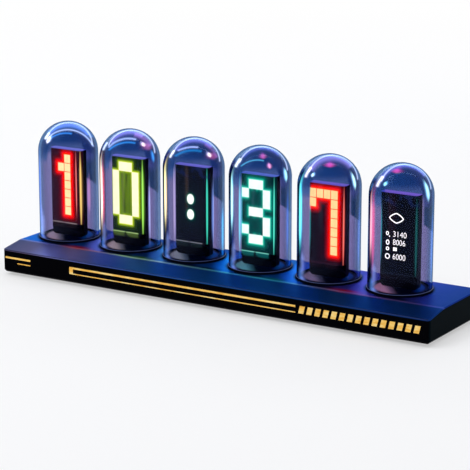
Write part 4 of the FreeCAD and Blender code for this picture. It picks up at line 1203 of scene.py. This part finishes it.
# The marks: place across from the axis and height, half sizes, then stroke, sharpness and sides
MARKS = (
    ((-0.9, 33.7), 3.75, 2.45, 0.46, 1.45, 56), ((-5.4, 26.2), 0.75, 0.95, 0.36, 1.0, 24),
    ((-4.3, 24.9), 0.32, 0.32, None, 1.0, 12), ((-5.2, 22.0), 0.95, 1.25, 0.42, 1.2, 28),
    ((-5.2, 19.0), 0.85, 0.9, 0.4, 1.0, 24), ((-5.2, 15.4), 1.25, 1.3, 0.42, 1.0, 32),
)
# Two rows of two small plates: the lower left corner, the steps between them, and a plate's size
PLATES_PLACE = (0.1, 18.3)
PLATES_STEP = (1.0, 0.85)
PLATE_SIZE = (0.88, 0.75)


def add_number(bm, text, place, width):
    """A number as flat solid figures of a width, its lower left corner at a place on the display's front."""
    curve = bpy.data.curves.new(text, "FONT")
    curve.body = text
    curve.size = 1.0
    curve.extrude = 0.05
    curve.offset = -0.012
    holder = bpy.data.objects.new(text, curve)
    bpy.context.scene.collection.objects.link(holder)
    bpy.context.view_layer.update()
    mesh = bpy.data.meshes.new_from_object(holder.evaluated_get(bpy.context.evaluated_depsgraph_get()))
    bpy.data.objects.remove(holder)
    corners = [v.co for v in mesh.vertices]
    lowest = Vector(min(c[i] for c in corners) for i in range(3))
    highest = Vector(max(c[i] for c in corners) for i in range(3))
    scale = Vector((width, NUMBER_HEIGHT, CELL_DEPTH))
    scale = Vector(s / (h - l) for s, h, l in zip(scale, highest, lowest))
    mesh.transform(Matrix.Diagonal((*scale, 1.0)) @ Matrix.Translation(-lowest))
    mesh.transform(Matrix.Rotation(math.pi / 2, 4, "X"))
    mesh.transform(Matrix.Translation((place[0], DISPLAY_Y - CELL_PROUD + CELL_DEPTH, place[1])))
    bm.from_mesh(mesh)
    bpy.data.meshes.remove(mesh)
    bmesh.ops.remove_doubles(bm, verts=bm.verts, dist=0.001)
    loose = [edge for edge in bm.edges if not edge.link_faces]
    bmesh.ops.delete(bm, geom=loose, context="EDGES")
    bmesh.ops.delete(bm, geom=[vert for vert in bm.verts if not vert.link_faces], context="VERTS")


def make_marks(number):
    """The outline symbol, the small marks and the numbers of the last display."""
    axis_x = dome_axis(number)[0]
    bm = bmesh.new()
    for (across, up), *form in MARKS:
        add_flat_shape(bm, (axis_x + across, DECK_Z + up), *form)
    bmesh.ops.recalc_face_normals(bm, faces=bm.faces)
    front = DISPLAY_Y - CELL_PROUD
    for column in range(2):
        for row in range(2):
            left = axis_x + NUMBER_X + PLATES_PLACE[0] + column * PLATES_STEP[0]
            base = DECK_Z + PLATES_PLACE[1] + row * PLATES_STEP[1]
            far = (left + PLATE_SIZE[0], front + CELL_DEPTH, base + PLATE_SIZE[1])
            add_block(bm, (left, front, base), far, bevel=0.04)
    for height, text, width in NUMBER_ROWS:
        add_number(bm, text, (axis_x + NUMBER_X, DECK_Z + height - NUMBER_HEIGHT / 2), width)
    add_piece(f"lit_marks_{number}", bm, lit_finish(number), "base", smooth=False)


# Small parts inside, at the back and below


def plastic_finish(name, dark, light, roughness=0.45, grain_height=0.012):
    """Moulded plastic with a fine skin."""
    finish = Finish(name, Specular_IOR_Level=0.4)
    vector = finish.place()
    colour = finish.ramp(finish.noise(vector, 0.6, detail=4.0), ((0.3, dark), (0.7, light)))
    return skin(finish, vector, 6.0, grain_height, roughness, Base_Color=colour)


def metal_finish(name, dark, light, roughness=0.3):
    """Drawn or turned metal with fine lines along one way."""
    finish = Finish(name, Metallic=1.0)
    vector = finish.place(stretch=(0.15, 1.0, 1.0))
    colour = finish.ramp(finish.noise(vector, 9.0, detail=3.0), ((0.3, dark), (0.7, light)))
    return skin(finish, vector, 12.0, 0.006, roughness, scale=0.3, Base_Color=colour)


def laminate_finish(name, dark, light):
    """Lacquered circuit board with the weave just showing."""
    finish = Finish(name, Specular_IOR_Level=0.5)
    vector = finish.place()
    x, y, z = finish.split(vector)
    threads = (finish.math("SINE", finish.times(way, 9.0)) for way in (x, finish.math("ADD", y, z)))
    weave = finish.times(*threads)
    value = finish.math("MULTIPLY_ADD", weave, 0.12, finish.noise(vector, 0.15, detail=3.0))
    bump = finish.add("ShaderNodeBump", {"Strength": 0.4, "Distance": MM * 0.02, "Height": weave}).outputs[0]
    colour = finish.ramp(value, ((0.3, dark), (0.75, light)))
    finish.set(Base_Color=colour, Roughness=wiped(finish, vector, 0.3), Normal=bump)
    return finish


def lamp_finish():
    """Clear bodies of the small lights under the discs, each in the colour of its display."""
    finish = Finish("colour_lights", Roughness=0.25, Emission_Strength=1.2)
    vector = finish.place()
    along = finish.share(finish.split(vector)[0], CASE_LEFT, CASE_RIGHT, smooth=False)
    length = CASE_RIGHT - CASE_LEFT
    stops = [((dome_axis(n)[0] - CASE_LEFT) / length, DISPLAYS[n].streak) for n in DOME_NUMBERS]
    grain = finish.effect(GRAIN, vector, 3.0, 0.01)
    finish.set(Base_Color=shade(225, 225, 215), Emission_Color=finish.ramp(along, stops), Normal=grain)
    return finish


# What the small parts are made of: their nodes, the kind and name of the finish, two shades, other settings
SMALL_PARTS = (
    (("main_board",), laminate_finish, "main_board", (12, 60, 40), (28, 98, 66), {}),
    (("display_carriers",), laminate_finish, "display_carriers", (14, 30, 62), (26, 52, 96), {}),
    (("case_screws", "board_screws"), metal_finish, "steel", (150, 152, 156), (205, 206, 210), {}),
    (("coin_cell",), metal_finish, "cell_steel", (175, 176, 180), (225, 226, 228), {"roughness": 0.22}),
    (("usb_socket",), metal_finish, "socket_steel", (160, 162, 168), (214, 216, 220), {"roughness": 0.24}),
    (
        ("controller_module",), metal_finish, "module_can", (170, 172, 176), (216, 218, 222),
        {"roughness": 0.35},
    ),
    (("coin_cell_holder",), plastic_finish, "cell_holder", (20, 20, 22), (36, 36, 40), {}),
    (("display_sockets",), plastic_finish, "display_sockets", (200, 196, 180), (228, 224, 208), {}),
    (("push_switches",), plastic_finish, "push_switches", (24, 24, 28), (44, 44, 50), {}),
    (
        ("button_left", "button_mode", "button_right"), plastic_finish, "button_caps", (16, 17, 22),
        (30, 32, 40), {"roughness": 0.35},
    ),
    (
        ("rubber_feet",), plastic_finish, "rubber_feet", (14, 14, 15), (28, 28, 30),
        {"roughness": 0.8, "grain_height": 0.03},
    ),
)


# The stage

# In metres: the floor's radius, and how far from the clock it starts to turn white and is white
FLOOR_RADIUS = 6.0
PALE_NEAR = 0.35
PALE_FAR = 1.1


def add_softbox(name, place, target, size, power, roll=None):
    """A flat studio lamp at a place, turned to a target, with its long side along roll."""
    lamp = bpy.data.lights.new(name, "AREA")
    lamp.shape = "RECTANGLE"
    lamp.size, lamp.size_y = size
    lamp.energy = power
    holder = bpy.data.objects.new(name, lamp)
    bpy.context.scene.collection.objects.link(holder)
    back = (Vector(place) - Vector(target)).normalized()
    side = (roll or Vector((0.0, 0.0, 1.0)).cross(back)).normalized()
    turned = Matrix((side, back.cross(side), back)).transposed().to_4x4()
    holder.matrix_world = Matrix.Translation(place) @ turned
    return holder


def seen_directly(nodes):
    """1 for rays from the camera, from a mirror or through glass, which see the backdrop as it is."""
    path = nodes.add("ShaderNodeLightPath").outputs
    seen = nodes.math("MAXIMUM", path["Is Camera Ray"], path["Is Glossy Ray"])
    return nodes.math("MAXIMUM", seen, path["Is Transmission Ray"])


def floor_finish():
    """Pale matt floor that turns to plain white away from the clock."""
    stage = bpy.context.scene.clock_stage
    finish = Finish("pale_floor", Roughness=0.9, Specular_IOR_Level=0.1)
    vector = finish.add("ShaderNodeTexCoord").outputs["Object"]
    distance = finish.add("ShaderNodeVectorMath", {0: vector}, operation="LENGTH").outputs["Value"]
    cloud = finish.noise(vector, 3.0, detail=3.0)
    cloud = finish.share(cloud, 0.3, 0.7, 0.0, 0.12)
    finish.set(Base_Color=finish.mix(cloud, tuple(stage.floor_colour), (0.8, 0.81, 0.85)))
    white = finish.add("ShaderNodeEmission", {"Color": (1.0, 1.0, 1.0, 1.0), "Strength": 1.0})
    share = finish.times(finish.share(distance, PALE_NEAR, PALE_FAR, 0.45, 1.0), seen_directly(finish))
    blend = finish.add("ShaderNodeMixShader", {0: share, 1: finish.shader.outputs[0], 2: white.outputs[0]})
    finish.tree.links.new(blend.outputs[0], finish.tree.nodes["Material Output"].inputs["Surface"])
    return finish


def make_floor():
    """The round floor that the clock stands on."""
    bm = bmesh.new()
    bmesh.ops.create_circle(bm, cap_ends=True, segments=96, radius=FLOOR_RADIUS)
    mesh = bpy.data.meshes.new("floor")
    bm.to_mesh(mesh)
    bm.free()
    mesh.materials.append(floor_finish().material)
    floor = bpy.data.objects.new("floor", mesh)
    bpy.context.scene.collection.objects.link(floor)


def light_room():
    """A white room: even light on surfaces, and plain white where it is seen."""
    stage = bpy.context.scene.clock_stage
    world = bpy.data.worlds.new("white_room")
    bpy.context.scene.world = world
    world.use_nodes = True
    nodes = Nodes(world.node_tree)
    background = world.node_tree.nodes["Background"]
    background.inputs["Color"].default_value = (1.0, 1.0, 1.0, 1.0)
    level = nodes.math("MULTIPLY_ADD", seen_directly(nodes), 1.0 - stage.fill, stage.fill)
    nodes.tree.links.new(level, background.inputs["Strength"])
    along = Vector((math.cos(stage.camera_azimuth), math.sin(stage.camera_azimuth), 0.0))
    away = Vector((-along.y, along.x, 0.0))
    key = add_softbox("key_softbox", (-0.5, -0.6, 1.1), (0.0, 0.0, 0.03), (0.7, 0.7), 4.0)
    key.visible_transmission = False
    crown = Vector((0.0, 0.0, 0.06))
    for name, back, up, size, power in (
        ("rear_strip", 1.05, 0.62, (2.4, 0.22), 5.0), ("ceiling_strip", 0.10, 1.1, (1.8, 0.09), 3.0),
    ):
        add_softbox(name, crown + away * back + Vector((0, 0, up)), crown, size, power, roll=along)


def add_camera():
    """The camera, at the clock's front right and a little above it."""
    stage = bpy.context.scene.clock_stage
    data = bpy.data.cameras.new("view")
    data.lens = stage.lens
    camera = bpy.data.objects.new("view", data)
    bpy.context.scene.collection.objects.link(camera)
    camera.location = stage.camera_place
    camera.rotation_euler = Euler((math.pi / 2 - stage.camera_elevation, 0.0, stage.camera_azimuth))
    bpy.context.scene.camera = camera


class CLOCK_OT_finish_case(bpy.types.Operator):
    """Finishes the cover, the tray and the gold trim"""

    bl_idname = "clock.finish_case"
    bl_label = "Finish Case"

    def execute(self, context):
        """Gives each part of the case its surface."""
        give("top_cover", cover_finish())
        give("lower_case", case_finish("black_case"))
        give("rear_panel", case_finish("black_rear_panel"))
        gold = gold_finish()
        give("gold_lines", gold)
        give("gold_bars", gold)
        return {"FINISHED"}


class CLOCK_OT_blow_domes(bpy.types.Operator):
    """Makes the six glass domes with their rings and discs"""

    bl_idname = "clock.blow_domes"
    bl_label = "Blow Domes"

    def execute(self, context):
        """Makes each dome and finishes what it stands on."""
        ring = ring_finish()
        for number in DOME_NUMBERS:
            make_dome(number)
            give(f"seat_ring_{number}", ring)
            give(f"light_disc_{number}", disc_finish(number))
        return {"FINISHED"}


class CLOCK_OT_light_displays(bpy.types.Operator):
    """Lights the displays and their figures"""

    bl_idname = "clock.light_displays"
    bl_label = "Light Displays"

    def execute(self, context):
        """Finishes each display and adds what it shows."""
        panel = plastic_finish("dark_panel", shade(8, 9, 14), shade(16, 18, 26), roughness=0.2)
        for number in DOME_NUMBERS:
            give(f"display_glass_{number}", display_finish(number))
            give(f"display_housing_{number}", housing_finish(number))
            give(f"display_panel_{number}", panel)
        for number in (1, 2, 4, 5):
            make_cells(number)
        make_dots(3)
        make_marks(6)
        return {"FINISHED"}


class CLOCK_OT_finish_small_parts(bpy.types.Operator):
    """Finishes the boards, fasteners, buttons and feet"""

    bl_idname = "clock.finish_small_parts"
    bl_label = "Finish Small Parts"

    def execute(self, context):
        """Gives each small part its surface."""
        for nodes, kind, name, dark, light, settings in SMALL_PARTS:
            finish = kind(name, shade(*dark), shade(*light), **settings)
            for node in nodes:
                give(node, finish)
        give("colour_lights", lamp_finish())
        return {"FINISHED"}


class CLOCK_OT_set_stage(bpy.types.Operator):
    """Sets the floor, the lamps and the camera"""

    bl_idname = "clock.set_stage"
    bl_label = "Set Stage"

    def execute(self, context):
        """Makes the studio round the clock."""
        make_floor()
        light_room()
        add_camera()
        context.scene.view_settings.view_transform = "Standard"
        return {"FINISHED"}


STEPS = (
    CLOCK_OT_finish_case, CLOCK_OT_blow_domes, CLOCK_OT_light_displays, CLOCK_OT_finish_small_parts,
    CLOCK_OT_set_stage,
)


class CLOCK_PT_tools(bpy.types.Panel):
    """Lists the steps and their settings"""

    bl_idname = "CLOCK_PT_tools"
    bl_label = "Dome Clock"
    bl_space_type = "VIEW_3D"
    bl_region_type = "UI"
    bl_category = "Dome Clock"

    def draw(self, context):
        """Draws a button for each step, then the settings."""
        column = self.layout.column()
        for step in STEPS:
            column.operator(step.bl_idname)
        for settings in (context.scene.clock_glass, context.scene.clock_figures, context.scene.clock_stage):
            for name in settings.__annotations__:
                column.prop(settings, name)


SETTINGS = {"clock_glass": GlassSettings, "clock_figures": FigureSettings, "clock_stage": StageSettings}


def register():
    """Registers the settings, the steps and the panel."""
    for name, kind in SETTINGS.items():
        bpy.utils.register_class(kind)
        setattr(bpy.types.Scene, name, bpy.props.PointerProperty(type=kind))
    for kind in (*STEPS, CLOCK_PT_tools):
        bpy.utils.register_class(kind)


def unregister():
    """Takes them out again."""
    for kind in (CLOCK_PT_tools, *reversed(STEPS)):
        bpy.utils.unregister_class(kind)
    for name, kind in SETTINGS.items():
        delattr(bpy.types.Scene, name)
        bpy.utils.unregister_class(kind)


def main():
    """Dresses the clock step by step."""
    register()
    bpy.ops.clock.finish_case()
    bpy.ops.clock.blow_domes()
    bpy.ops.clock.light_displays()
    bpy.ops.clock.finish_small_parts()
    bpy.ops.clock.set_stage()


if __name__ == "__main__":
    main()
